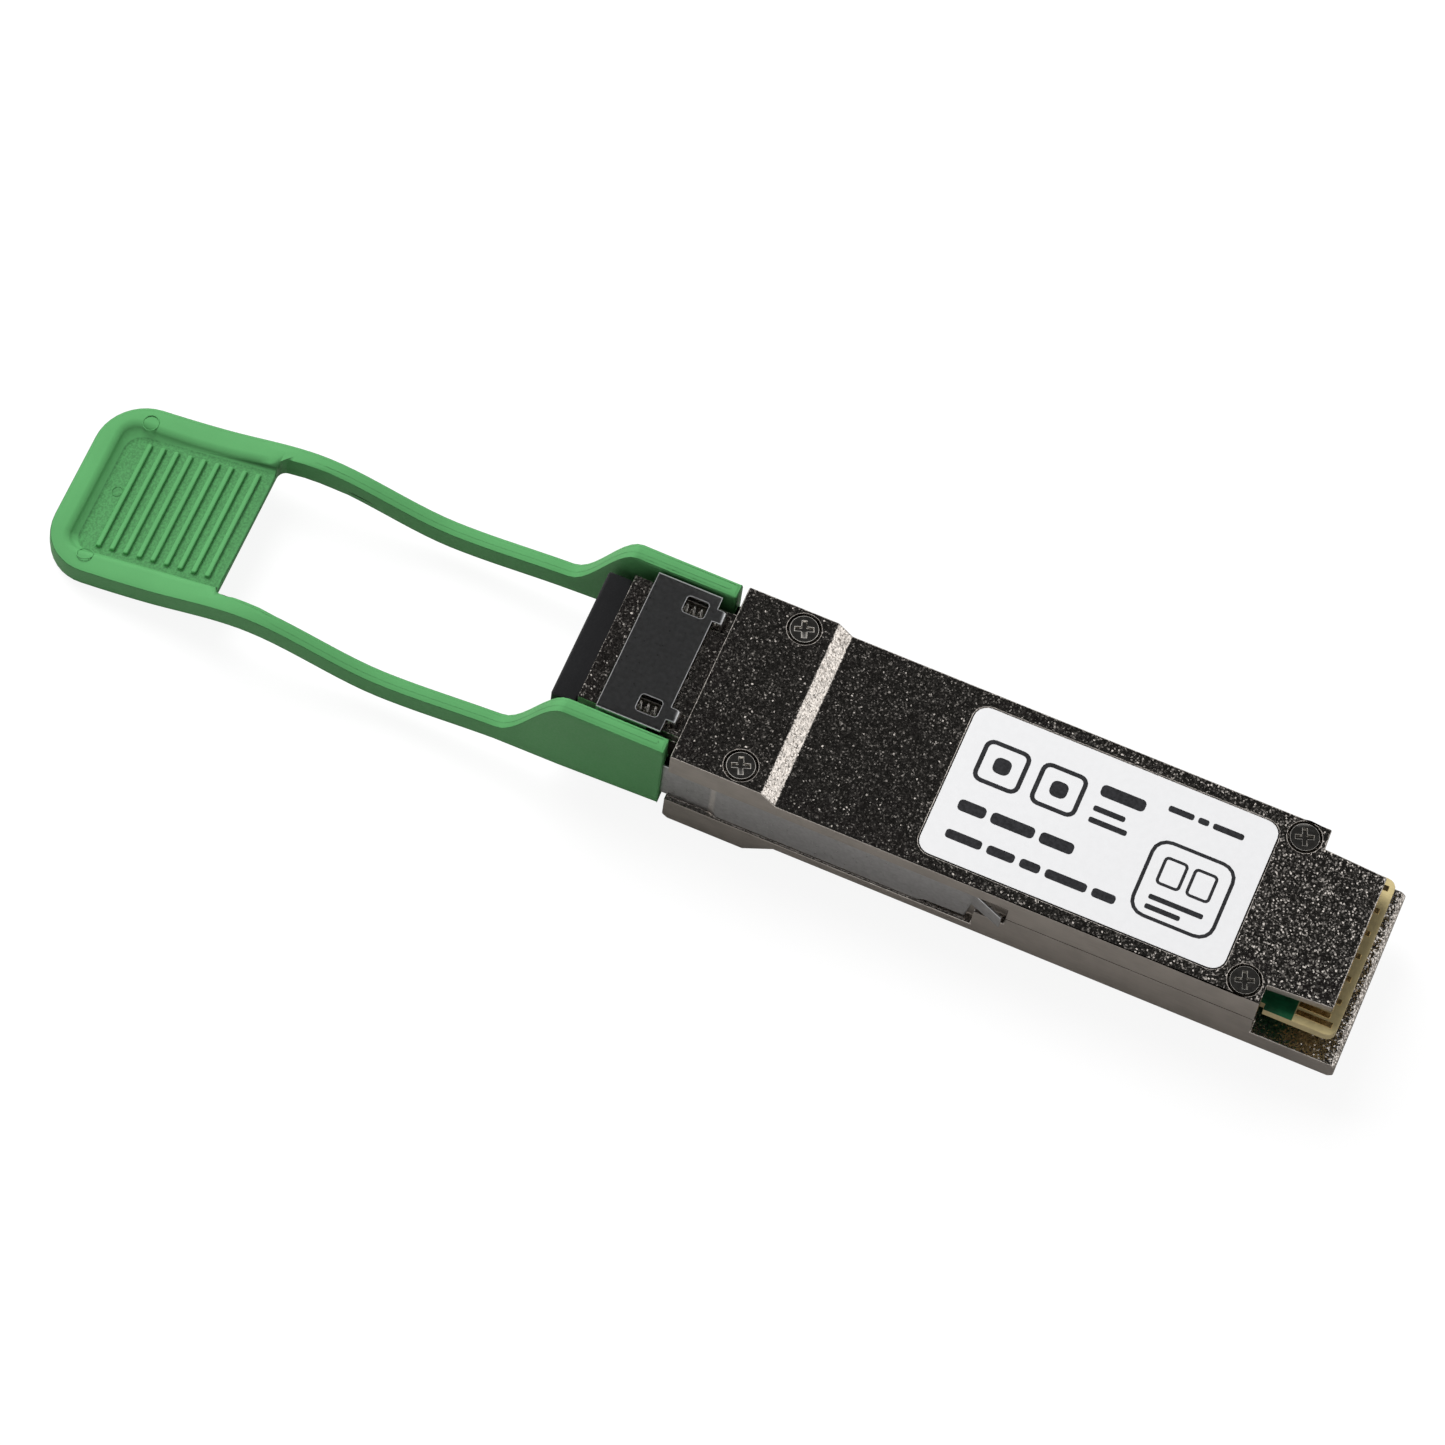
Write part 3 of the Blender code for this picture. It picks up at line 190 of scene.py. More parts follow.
class StudioSettings(bpy.types.PropertyGroup):
    """Lights and floor."""

    key_power: bpy.props.FloatProperty(
        name="Key light", description="Power of the overhead light", default=9.5, min=0, unit="POWER"
    )
    fill: bpy.props.FloatProperty(name="Fill", description="Even light from all around", default=0.26, min=0)
    horizon: bpy.props.FloatProperty(
        name="Horizon", description="Brightness of the band that metal reflects", default=2.6, min=0
    )
    zenith: bpy.props.FloatProperty(
        name="Zenith", description="Brightness overhead that metal reflects", default=0.026, min=0
    )
    floor: bpy.props.FloatProperty(name="Floor", description="Brightness of the floor", default=0.9, min=0)


def sizes():
    return bpy.context.scene.transceiver_sizes


def colours():
    return bpy.context.scene.transceiver_colours


def studio():
    return bpy.context.scene.transceiver_studio


# ---------------------------------------------------------------- node trees


def add(tree, kind, inputs=None, **settings):
    """A node with its settings and inputs; an input that is a socket is linked."""
    made = tree.nodes.new(kind)
    for key, value in settings.items():
        setattr(made, key, value)
    for key, value in (inputs or {}).items():
        socket = made.inputs[key]
        if isinstance(value, bpy.types.NodeSocket):
            tree.links.new(value, socket)
        else:
            socket.default_value = value
    return made


def maths(tree, operation, first, second=0.0, clamp=False):
    inputs = {0: first, 1: second}
    return add(tree, "ShaderNodeMath", inputs, operation=operation, use_clamp=clamp).outputs[0]


def vector_maths(tree, operation, first, second=None, scale=None):
    inputs = {0: first}
    if second is not None:
        inputs[1] = second
    if scale is not None:
        inputs["Scale"] = scale
    return add(tree, "ShaderNodeVectorMath", inputs, operation=operation).outputs[0]


def axes(tree, source="Object"):
    """X, Y and Z of the place on the object, or of its normal."""
    found = add(tree, "ShaderNodeTexCoord").outputs[source]
    return add(tree, "ShaderNodeSeparateXYZ", {0: found}).outputs


def ramp(tree, value, low, high, to_low=0.0, to_high=1.0):
    """Value taken smoothly from one range to another."""
    inputs = {0: value, 1: low, 2: high, 3: to_low, 4: to_high}
    return add(tree, "ShaderNodeMapRange", inputs, interpolation_type="SMOOTHSTEP").outputs[0]


def blend_colours(tree, share, first, second):
    mix = add(tree, "ShaderNodeMix", data_type="RGBA")
    for socket, value in ((mix.inputs[0], share), (mix.inputs[6], first), (mix.inputs[7], second)):
        if isinstance(value, bpy.types.NodeSocket):
            tree.links.new(value, socket)
        elif isinstance(value, (int, float)):
            socket.default_value = value
        else:
            socket.default_value = (*value, 1)
    return mix.outputs[2]


def scaled(shade, factor):
    return tuple(min(1.0, part * factor) for part in shade)


def new_group(name, inputs, outputs):
    """An empty shader group with named sockets, given as (name, kind, default) and (name, kind)."""
    tree = bpy.data.node_groups.new(name, "ShaderNodeTree")
    for label, kind, value in inputs:
        socket = tree.interface.new_socket(label, in_out="INPUT", socket_type=kind)
        socket.default_value = value
    for label, kind in outputs:
        tree.interface.new_socket(label, in_out="OUTPUT", socket_type=kind)
    return tree, tree.nodes.new("NodeGroupInput").outputs, tree.nodes.new("NodeGroupOutput").inputs


def grain_group():
    """Shot-blasted grains: each one is a small facet with its own tilt and tone."""
    if "Blasted grain" in bpy.data.node_groups:
        return bpy.data.node_groups["Blasted grain"]
    tree, given, out = new_group(
        "Blasted grain",
        [("Scale", FLOAT, 6000.0), ("Tilt", FLOAT, 1.0), ("Rarity", FLOAT, 3.0)],
        [("Normal", VECTOR), ("Tone", FLOAT)],
    )
    place = add(tree, "ShaderNodeTexCoord").outputs["Object"]
    warp = add(tree, "ShaderNodeTexNoise", {"Vector": place, "Scale": 2600.0, "Detail": 1.0})
    bent = vector_maths(tree, "SUBTRACT", warp.outputs["Color"], MIDDLE)
    moved = vector_maths(tree, "ADD", place, vector_maths(tree, "SCALE", bent, scale=0.12 * MM))
    cells = add(tree, "ShaderNodeTexVoronoi", {"Vector": moved, "Scale": given["Scale"]}).outputs["Color"]
    centred = vector_maths(tree, "SUBTRACT", cells, MIDDLE)
    reach = add(tree, "ShaderNodeVectorMath", {0: centred}, operation="LENGTH").outputs["Value"]
    share = maths(tree, "POWER", maths(tree, "MULTIPLY", reach, 1.25, clamp=True), given["Rarity"])
    lean = maths(tree, "MULTIPLY", share, given["Tilt"])
    push = vector_maths(tree, "SCALE", vector_maths(tree, "NORMALIZE", centred), scale=lean)
    normal = add(tree, "ShaderNodeNewGeometry").outputs["Normal"]
    tilted = vector_maths(tree, "NORMALIZE", vector_maths(tree, "ADD", normal, push))
    tree.links.new(tilted, out["Normal"])
    tree.links.new(add(tree, "ShaderNodeSeparateColor", {0: cells}).outputs[1], out["Tone"])
    return tree


def mottle_group():
    """Slow cloudy change with fine streaks along X, for rolled or drawn metal and print stock."""
    if "Soft mottle" in bpy.data.node_groups:
        return bpy.data.node_groups["Soft mottle"]
    tree, given, out = new_group(
        "Soft mottle",
        [("Scale", FLOAT, 300.0), ("Streak", FLOAT, 0.0)],
        [("Tone", FLOAT)],
    )
    place = add(tree, "ShaderNodeTexCoord").outputs["Object"]
    cloud = add(tree, "ShaderNodeTexNoise", {"Vector": place, "Scale": given["Scale"], "Detail": 4.0})
    drawn = add(tree, "ShaderNodeMapping", {"Vector": place, "Scale": (0.05, 1.0, 1.0)})
    lines = add(tree, "ShaderNodeTexNoise", {"Vector": drawn.outputs[0], "Scale": 9000.0, "Detail": 2.0})
    fine = maths(tree, "MULTIPLY", maths(tree, "SUBTRACT", lines.outputs[0], 0.5), given["Streak"])
    tree.links.new(maths(tree, "ADD", cloud.outputs[0], fine), out["Tone"])
    return tree


def skin_group():
    """The fine spark-eroded skin of a moulding, and its slow change of shade."""
    if "Moulded skin" in bpy.data.node_groups:
        return bpy.data.node_groups["Moulded skin"]
    tree, given, out = new_group(
        "Moulded skin", [("Scale", FLOAT, 5200.0)], [("Height", FLOAT), ("Tone", FLOAT)]
    )
    place = add(tree, "ShaderNodeTexCoord").outputs["Object"]
    fine = add(tree, "ShaderNodeTexNoise", {"Vector": place, "Scale": given["Scale"], "Detail": 3.0})
    slow = add(tree, "ShaderNodeTexNoise", {"Vector": place, "Scale": 120.0, "Detail": 3.0})
    tree.links.new(fine.outputs[0], out["Height"])
    tree.links.new(slow.outputs[0], out["Tone"])
    return tree


def use_group(tree, source, **values):
    made = tree.nodes.new("ShaderNodeGroup")
    made.node_tree = source
    for key, value in values.items():
        made.inputs[key.replace("_", " ").capitalize()].default_value = value
    return made.outputs


def material(name, shade, roughness, metallic=0.0, **sockets):
    """A material with a Principled shader whose constants are set on its own sockets."""
    made = bpy.data.materials.new(name)
    made.use_nodes = True
    made.diffuse_color = (*shade, 1)
    shader = made.node_tree.nodes["Principled BSDF"]
    shader.inputs["Base Color"].default_value = (*shade, 1)
    shader.inputs["Roughness"].default_value = roughness
    shader.inputs["Metallic"].default_value = metallic
    for key, value in sockets.items():
        shader.inputs[key.replace("_", " ")].default_value = value
    return made, made.node_tree, shader.inputs


def bump(tree, height, distance, strength):
    inputs = {"Height": height, "Distance": distance, "Strength": strength}
    return add(tree, "ShaderNodeBump", inputs).outputs[0]


def once(build):
    """The material that build makes, made the first time and kept."""

    def found():
        name = f"{build.__name__}_finish"
        return bpy.data.materials[name] if name in bpy.data.materials else build(name)

    return found


# ---------------------------------------------------------------- finishes


@once
def cast_nickel(name):
    """Blasted and plated casting: grainy where it faces up, down or along, smooth on its two sides."""
    shade = tuple(colours().nickel)
    made, tree, shader = material(name, shade, 0.3, 1.0)
    grain = use_group(tree, grain_group(), scale=7600.0)
    along = axes(tree)["X"]
    tilt = ramp(tree, along, BLAST_FROM, BLAST_TO, 0.41, 0.52)
    last = ramp(tree, along, BOARD_HIGH.x - 0.5 * MM, BOARD_HIGH.x + 0.5 * MM, 0.0, 0.4)
    tree.links.new(maths(tree, "ADD", tilt, last), grain["Normal"].node.inputs["Tilt"])
    rarity = ramp(tree, along, BLAST_FROM, BLAST_TO, 2.5, 1.7)
    tree.links.new(rarity, grain["Normal"].node.inputs["Rarity"])
    mottle = use_group(tree, mottle_group(), scale=500.0, streak=0.6)
    side = ramp(tree, maths(tree, "ABSOLUTE", axes(tree, "Normal")["Y"]), 0.80, 0.97)
    grains = blend_colours(tree, grain["Tone"], scaled(shade, 0.42), scaled(shade, 1.12))
    cloud = ramp(tree, mottle["Tone"], 0.3, 0.7)
    plain = blend_colours(tree, cloud, scaled(shade, 0.70), scaled(shade, 0.80))
    tree.links.new(blend_colours(tree, side, grains, plain), shader["Base Color"])
    rough = add(tree, "ShaderNodeMix", {0: side, 2: 0.2, 3: 0.42})
    tree.links.new(rough.outputs[0], shader["Roughness"])
    soft = bump(tree, mottle["Tone"], 0.02 * MM, 0.5)
    pick = add(tree, "ShaderNodeMix", data_type="VECTOR")
    tree.links.new(side, pick.inputs[0])
    tree.links.new(grain["Normal"], pick.inputs[4])
    tree.links.new(soft, pick.inputs[5])
    tree.links.new(pick.outputs[1], shader["Normal"])
    return made


@once
def sheet_steel(name):
    """Rolled spring steel with a faint drawn grain, and a painted highlight where the legs are bent."""
    shade = tuple(colours().steel)
    made, tree, shader = material(name, shade, 0.3, 1.0)
    mottle = use_group(tree, mottle_group(), scale=2600.0, streak=0.3)
    tone = ramp(tree, mottle["Tone"], 0.2, 0.8)
    rolled = blend_colours(tree, tone, scaled(shade, 0.82), shade)
    # Painted highlight: the base colour turns light in a narrow band along the legs' bend.
    away = maths(tree, "ABSOLUTE", maths(tree, "SUBTRACT", axes(tree)["X"], LEG_BEND))
    painted_bend_highlight = ramp(tree, away, 0.4 * MM, 0.1 * MM, 0.0, 0.6)
    tree.links.new(blend_colours(tree, painted_bend_highlight, rolled, (0.95, 0.90, 0.85)), shader["Base Color"])
    tree.links.new(ramp(tree, mottle["Tone"], 0.2, 0.8, 0.27, 0.33), shader["Roughness"])
    tree.links.new(bump(tree, mottle["Tone"], 0.002 * MM, 0.4), shader["Normal"])
    return made


@once
def screw_nickel(name):
    shade = tuple(colours().screw)
    made, tree, shader = material(name, shade, 0.25, 1.0)
    mottle = use_group(tree, mottle_group(), scale=2400.0, streak=0.2)
    tone = ramp(tree, mottle["Tone"], 0.3, 0.75)
    tree.links.new(blend_colours(tree, tone, scaled(shade, 0.8), shade), shader["Base Color"])
    tree.links.new(ramp(tree, mottle["Tone"], 0.25, 0.8, 0.14, 0.24), shader["Roughness"])
    tree.links.new(bump(tree, mottle["Tone"], 0.006 * MM, 0.5), shader["Normal"])
    return made


def dish_etch_and_shade_mask(tree):
    """One on the base of the tab's dish, where the mould was etched coarser and where shade is painted in,
    and zero elsewhere.
    """
    place = axes(tree)
    base = maths(tree, "MULTIPLY", maths(tree, "SUBTRACT", place["X"], DISH_PLACE.x), DISH_SLOPE)
    above = maths(tree, "SUBTRACT", maths(tree, "SUBTRACT", place["Z"], DISH_PLACE.z), base)
    level = ramp(tree, maths(tree, "ABSOLUTE", above), DISH_SKIN, DISH_SKIN / 4)
    end = TAB_LOW.x + GRIP_END
    within = ramp(tree, place["X"], end + DISH_FADE, end - DISH_FADE)
    across = ramp(tree, maths(tree, "ABSOLUTE", place["Y"]), DISH_HALF + DISH_FADE, DISH_HALF)
    return maths(tree, "MULTIPLY", maths(tree, "MULTIPLY", level, within), across)


@once
def green_plastic(name):
    shade = tuple(colours().tab)
    made, tree, shader = material(name, shade, 0.5, Specular_IOR_Level=0.4)
    skin = use_group(tree, skin_group(), scale=5200.0)
    tone = ramp(tree, skin["Tone"], 0.3, 0.7)
    smooth = blend_colours(tree, tone, scaled(shade, 0.94), scaled(shade, 1.04))
    pits = ramp(tree, skin["Height"], 0.35, 0.65)
    # Painted shade: the dish's base is coloured darker to stand in for the shade in the recess, on top of
    # its coarser etched skin.
    etched_and_painted_shade = blend_colours(tree, pits, scaled(shade, 0.58), scaled(shade, 0.84))
    inside = dish_etch_and_shade_mask(tree)
    tree.links.new(blend_colours(tree, inside, smooth, etched_and_painted_shade), shader["Base Color"])
    tree.links.new(ramp(tree, skin["Height"], 0.3, 0.7, 0.46, 0.6), shader["Roughness"])
    relief = maths(tree, "MULTIPLY", skin["Height"], ramp(tree, inside, 0, 1, 1.0, 2.2))
    tree.links.new(bump(tree, relief, 0.015 * MM, 0.5), shader["Normal"])
    return made


@once
def black_plastic(name):
    shade = tuple(colours().black)
    made, tree, shader = material(name, shade, 0.5, Specular_IOR_Level=0.35)
    skin = use_group(tree, skin_group(), scale=4200.0)
    tone = ramp(tree, skin["Tone"], 0.3, 0.7)
    tree.links.new(blend_colours(tree, tone, shade, scaled(shade, 1.3)), shader["Base Color"])
    tree.links.new(ramp(tree, skin["Height"], 0.3, 0.7, 0.42, 0.62), shader["Roughness"])
    tree.links.new(bump(tree, skin["Height"], 0.02 * MM, 0.6), shader["Normal"])
    return made


@once
def label_stock(name):
    shade = tuple(colours().label)
    made, tree, shader = material(name, shade, 0.5, Specular_IOR_Level=0.3)
    mottle = use_group(tree, mottle_group(), scale=1500.0)
    tone = ramp(tree, mottle["Tone"], 0.3, 0.7)
    tree.links.new(blend_colours(tree, tone, scaled(shade, 0.98), shade), shader["Base Color"])
    tree.links.new(bump(tree, mottle["Tone"], 0.004 * MM, 0.4), shader["Normal"])
    return made


@once
def label_ink(name):
    shade = tuple(colours().ink)
    made, tree, shader = material(name, shade, 0.45)
    mottle = use_group(tree, mottle_group(), scale=3500.0)
    tone = ramp(tree, mottle["Tone"], 0.3, 0.7)
    tree.links.new(blend_colours(tree, tone, shade, scaled(shade, 1.8)), shader["Base Color"])
    return made


@once
def circuit_board(name):
    """Green mask up to the contacts, bare laminate with a woven look from there and on the cut edges."""
    mask, bare = tuple(colours().mask), tuple(colours().laminate)
    made, tree, shader = material(name, mask, 0.35, Coat_Weight=0.2)
    start = BOARD_HIGH.x - MASK_END
    beyond = ramp(tree, axes(tree)["X"], start - 0.03 * MM, start + 0.03 * MM)
    up = maths(tree, "ABSOLUTE", axes(tree, "Normal")["Z"])
    cut = ramp(tree, up, 0.75, 0.55)
    exposed = maths(tree, "MAXIMUM", beyond, cut)
    mottle = use_group(tree, mottle_group(), scale=1200.0, streak=0.3)
    glass = blend_colours(tree, ramp(tree, mottle["Tone"], 0.3, 0.7), scaled(bare, 0.86), bare)
    coat = blend_colours(tree, ramp(tree, mottle["Tone"], 0.35, 0.65), scaled(mask, 0.8), scaled(mask, 1.3))
    tree.links.new(blend_colours(tree, exposed, coat, glass), shader["Base Color"])
    tree.links.new(ramp(tree, exposed, 0, 1, 0.28, 0.5), shader["Roughness"])
    tree.links.new(bump(tree, mottle["Tone"], 0.01 * MM, 0.3), shader["Normal"])
    return made


@once
def gold_plate(name):
    shade = tuple(colours().gold)
    made, tree, shader = material(name, shade, 0.28, 1.0)
    mottle = use_group(tree, mottle_group(), scale=1800.0, streak=0.4)
    tone = ramp(tree, mottle["Tone"], 0.3, 0.75)
    tree.links.new(blend_colours(tree, tone, scaled(shade, 0.85), shade), shader["Base Color"])
    tree.links.new(ramp(tree, mottle["Tone"], 0.25, 0.8, 0.2, 0.36), shader["Roughness"])
    return made


@once
def flexible_film(name):
    """Copper tracks under amber film, drawn as stripes along the ribbon."""
    shade = tuple(colours().copper)
    made, tree, shader = material(name, shade, 0.3, Coat_Weight=0.4)
    wave = maths(tree, "SINE", maths(tree, "MULTIPLY", axes(tree)["Y"], TAU / (0.5 * MM)))
    track = ramp(tree, wave, -0.1, 0.1)
    tree.links.new(blend_colours(tree, track, scaled(shade, 0.45), shade), shader["Base Color"])
    tree.links.new(bump(tree, track, 0.01 * MM, 0.5), shader["Normal"])
    return made


def moulded(name, shade, roughness, scale):
    """A plain moulded or pressed finish with a fine skin."""
    made, tree, shader = material(name, shade, roughness)
    skin = use_group(tree, skin_group(), scale=scale)
    tone = ramp(tree, skin["Height"], 0.3, 0.7)
    tree.links.new(blend_colours(tree, tone, scaled(shade, 0.8), scaled(shade, 1.2)), shader["Base Color"])
    tree.links.new(bump(tree, skin["Height"], 0.02 * MM, 0.6), shader["Normal"])
    return made


@once
def chip_package(name):
    return moulded(name, tuple(colours().package), 0.6, 6000.0)


@once
def ferrite_core(name):
    return moulded(name, tuple(colours().ferrite), 0.7, 3000.0)


@once
def silicone_pad(name):
    return moulded(name, tuple(colours().pad), 0.9, 2500.0)


@once
def gasket_rubber(name):
    return moulded(name, tuple(colours().gasket), 0.8, 2500.0)


# ---------------------------------------------------------------- modelling


def focus(piece):
    """Nothing but this piece selected and active, in object mode."""
    if bpy.context.mode != "OBJECT":
        bpy.ops.object.mode_set(mode="OBJECT")
    bpy.ops.object.select_all(action="DESELECT")
    piece.select_set(True)
    bpy.context.view_layer.objects.active = piece


def edit(piece, mode="FACE"):
    focus(piece)
    bpy.ops.object.mode_set(mode="EDIT")
    bpy.ops.mesh.select_mode(type=mode)


def stop_editing():
    bpy.ops.object.mode_set(mode="OBJECT")


def joined(parts, name):
    """One piece from several."""
    focus(parts[0])
    for part in parts:
        part.select_set(True)
    bpy.ops.object.join()
    parts[0].name = parts[0].data.name = name
    settle(parts[0])
    return parts[0]


def apply_modifier(piece, kind, **settings):
    focus(piece)
    bpy.ops.object.modifier_add(type=kind)
    step = piece.modifiers[-1]
    for key, value in settings.items():
        setattr(step, key, value)
    bpy.ops.object.modifier_apply(modifier=step.name)


def settle(piece):
    """The piece's place goes into its mesh."""
    focus(piece)
    bpy.ops.object.transform_apply(location=True, rotation=True, scale=True)


def cad_copy(node, name, merge=0.002 * MM):
    """A new piece with a CAD node's shape, its loose triangles merged into whole flat faces."""
    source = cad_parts[node]
    piece = bpy.data.objects.new(name, source.data.copy())
    piece.data.name = name
    bpy.context.scene.collection.objects.link(piece)
    edit(piece, "VERT")
    bpy.ops.mesh.select_all(action="SELECT")
    bpy.ops.mesh.remove_doubles(threshold=merge)
    bpy.ops.mesh.customdata_custom_splitnormals_clear()
    bpy.ops.mesh.dissolve_limited(angle_limit=math.radians(0.4))
    stop_editing()
    return piece


def bend_angle(edge, normals):
    """Degrees between the two faces of an edge."""
    faces = normals.get(edge.key)
    if not faces or len(faces) != 2:
        return 0.0
    return math.degrees(faces[0].angle(faces[1], 0.0))


def weigh_edges(piece, widest, width_at, sharp=25):
    """Bevel weights: width_at(middle, direction, corner angle) gives each sharp edge's rounding."""
    mesh = piece.data
    normals = {}
    for face in mesh.polygons:
        for key in face.edge_keys:
            normals.setdefault(key, []).append(face.normal)
    weights = mesh.attributes.get(WEIGHT) or mesh.attributes.new(WEIGHT, "FLOAT", "EDGE")
    for edge in mesh.edges:
        angle = bend_angle(edge, normals)
        if angle < sharp:
            continue
        start, end = (mesh.vertices[i].co for i in edge.vertices)
        width = width_at((start + end) / 2, (end - start).normalized(), angle)
        weights.data[edge.index].value = min(1.0, width / widest)


def round_weighted(piece, widest, segments=3):
    apply_modifier(
        piece,
        "BEVEL",
        width=widest,
        segments=segments,
        limit_method="WEIGHT",
        use_clamp_overlap=False,
        loop_slide=False,
    )


def round_all(piece, width, segments=2, degrees=30):
    limit = math.radians(degrees)
    apply_modifier(
        piece, "BEVEL", width=width, segments=segments, limit_method="ANGLE", angle_limit=limit
    )


def smooth_faces(piece, degrees=45):
    """Smooth shading whose normals follow the large faces."""
    focus(piece)
    bpy.ops.object.shade_smooth_by_angle(angle=math.radians(degrees))
    apply_modifier(piece, "WEIGHTED_NORMAL", keep_sharp=True, weight=80)


def finish_piece(piece, body, slot, finish, *nodes):
    """Body, slot (not used), finish and the CAD nodes that this piece stands for."""
    piece.data.materials.clear()
    piece.data.materials.append(finish())
    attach(piece, body)
    if nodes:
        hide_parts(*nodes)
    return piece


def paint_node(node, finish):
    """A CAD node keeps its shape and gets a finish."""
    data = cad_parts[node].data
    data.materials.clear()
    data.materials.append(finish())


# ---------------------------------------------------------------- pieces


class TRANSCEIVER_OT_castings(bpy.types.Operator):
    """Upper cover and lower housing, with rounded casting edges."""

    bl_idname = "transceiver.castings"
    bl_label = "Castings"

    def width_at(self, middle, direction, angle):
        """The two castings meet on crisp edges, so that their joint stays a fine line."""
        at_parting = abs(middle.z - COVER_LOW.z + SEAM_HALF) < SEAM_BAND
        return SEAM_EDGE if at_parting else sizes().cast_edge

    def execute(self, context):
        for node, name in (("upper_cover", "cover_casting"), ("lower_housing", "housing_casting")):
            piece = cad_copy(node, name)
            weigh_edges(piece, sizes().cast_edge, self.width_at)
            round_weighted(piece, sizes().cast_edge, 2)
            smooth_faces(piece)
            finish_piece(piece, BODY, "cast_nickel", cast_nickel, node)
        return {"FINISHED"}


class TRANSCEIVER_OT_latch(bpy.types.Operator):
    """Sheet-steel latch with bend radii and broken cut edges."""

    bl_idname = "transceiver.latch"
    bl_label = "Latch"

    def execute(self, context):
        piece = cad_copy("latch_bracket", "latch_sheet")
        edge, bend = sizes().sheet_edge, sizes().sheet_bend

        def width_at(middle, direction, angle):
            is_top = middle.z > LATCH_HIGH.z - LEVEL
            is_side = abs(direction.x) > 0.99 and abs(middle.y) > PLATE_SIDE
            return bend if is_top and is_side else edge

        weigh_edges(piece, bend, width_at, sharp=40)
        round_weighted(piece, bend, 3)
        smooth_faces(piece)
        finish_piece(piece, LATCH, "spring_steel", sheet_steel, "latch_bracket")
        return {"FINISHED"}


class TRANSCEIVER_OT_tab(bpy.types.Operator):
    """Green pull tab with soft moulded edges."""

    bl_idname = "transceiver.tab"
    bl_label = "Pull tab"

    def outer_width(self, middle, direction, angle):
        """The outline and the arms are well rounded, the ends that hold the latch are crisp."""
        if middle.x > TAB_HIGH.x - CHEEK_REAR and middle.z < TAB_HIGH.z - CHEEK_TOP:
            return CHEEK_EDGE
        if self.in_pad(middle):
            return 0.0
        along = middle.x - TAB_LOW.x
        is_inner = abs(middle.y) < ARM_HALF and along > ARM_START
        rise = (along - GRIP_END) / ARM_RISE if is_inner else 1.0
        return sizes().tab_edge * min(1.0, max(0.05, rise))

    def flatten_end(self, piece):
        """The faint folds across the pad's end go, so that its rounding runs on unbroken."""
        edit(piece, "VERT")
        bpy.ops.mesh.select_all(action="DESELECT")
        stop_editing()
        for vertex in piece.data.vertices:
            vertex.select = vertex.co.x < TAB_LOW.x + END_FOLDS
        edit(piece, "VERT")
        bpy.ops.mesh.dissolve_limited(angle_limit=math.radians(2.5))
        stop_editing()

    def in_pad(self, place):
        """Whether a place is within the pad's rim, or at the loop's end."""
        along, across = place.x - TAB_LOW.x, abs(place.y)
        if GRIP_START < along < GRIP_END and across < GRIP_HALF:
            return True
        return LOOP_START < along < LOOP_CORNER and across < ARM_HALF

    def dish_width(self, middle, direction, angle):
        """Inside the pad: the dish's rim, the foot of its wall and the ribs."""
        if not self.in_pad(middle) or middle.x > TAB_LOW.x + DISH_END:
            return 0.0
        above = middle.z - DISH_PLACE.z - DISH_SLOPE * (middle.x - DISH_PLACE.x)
        if above > DISH_RIM:
            return sizes().tab_fillet
        is_rib = abs(middle.y) < RIB_HALF and middle.x > TAB_LOW.x + RIB_START
        return sizes().rib_edge if is_rib else 0.0

    def execute(self, context):
        piece = cad_copy("pull_tab", "tab_moulding", merge=TAB_MERGE)
        self.flatten_end(piece)
        weigh_edges(piece, sizes().tab_edge, self.outer_width)
        round_weighted(piece, sizes().tab_edge, 4)
        weigh_edges(piece, sizes().tab_fillet, self.dish_width)
        round_weighted(piece, sizes().tab_fillet, 4)
        smooth_faces(piece, 100)
        finish_piece(piece, LATCH, "green_plastic", green_plastic, "pull_tab")
        return {"FINISHED"}


# The mould's marks on the tab, as (x, y, radius) in millimetres
MARKS = ((-58.5, 7.35, 0.75), (-58.3, -7.25, 0.75), (-58.6, 0.3, 0.5))


class TRANSCEIVER_OT_marks(bpy.types.Operator):
    """Fine rings left by the mould: two ejector pins on the pad's rim and a plain mark in its dish."""

    bl_idname = "transceiver.marks"
    bl_label = "Mould marks"

    def execute(self, context):
        tab = bpy.data.objects["tab_moulding"]
        rings = []
        for x, y, radius in MARKS:
            start = Vector((x, y, 20)) * MM
            found, place, normal, _ = tab.ray_cast(start, Vector((0, 0, -1)))
            if not found:
                raise RuntimeError(f"no pad under the mark at {x}, {y}")
            bpy.ops.object.select_all(action="DESELECT")
            bpy.ops.mesh.primitive_torus_add(
                location=place,
                rotation=normal.to_track_quat("Z", "Y").to_euler(),
                major_segments=40,
                minor_segments=8,
                major_radius=radius * MM,
                minor_radius=RING_WIRE,
            )
            rings.append(bpy.context.object)
        piece = joined(rings, "mould_rings")
        smooth_faces(piece)
        finish_piece(piece, LATCH, "green_plastic", green_plastic)
        return {"FINISHED"}


class TRANSCEIVER_OT_receptacle(bpy.types.Operator):
    """Black duplex receptacle."""

    bl_idname = "transceiver.receptacle"
    bl_label = "Receptacle"

    def execute(self, context):
        piece = cad_copy("lc_receptacle", "receptacle_moulding")
        round_all(piece, sizes().moulding_edge)
        smooth_faces(piece)
        finish_piece(piece, BODY, "black_plastic", black_plastic, "lc_receptacle")
        return {"FINISHED"}


class TRANSCEIVER_OT_label(bpy.types.Operator):
    """White label."""

    bl_idname = "transceiver.label"
    bl_label = "Label"

    def execute(self, context):
        piece = cad_copy("label", "label_sheet")
        round_all(piece, sizes().label_edge)
        smooth_faces(piece)
        finish_piece(piece, BODY, "label_paper", label_stock, "label")
        return {"FINISHED"}


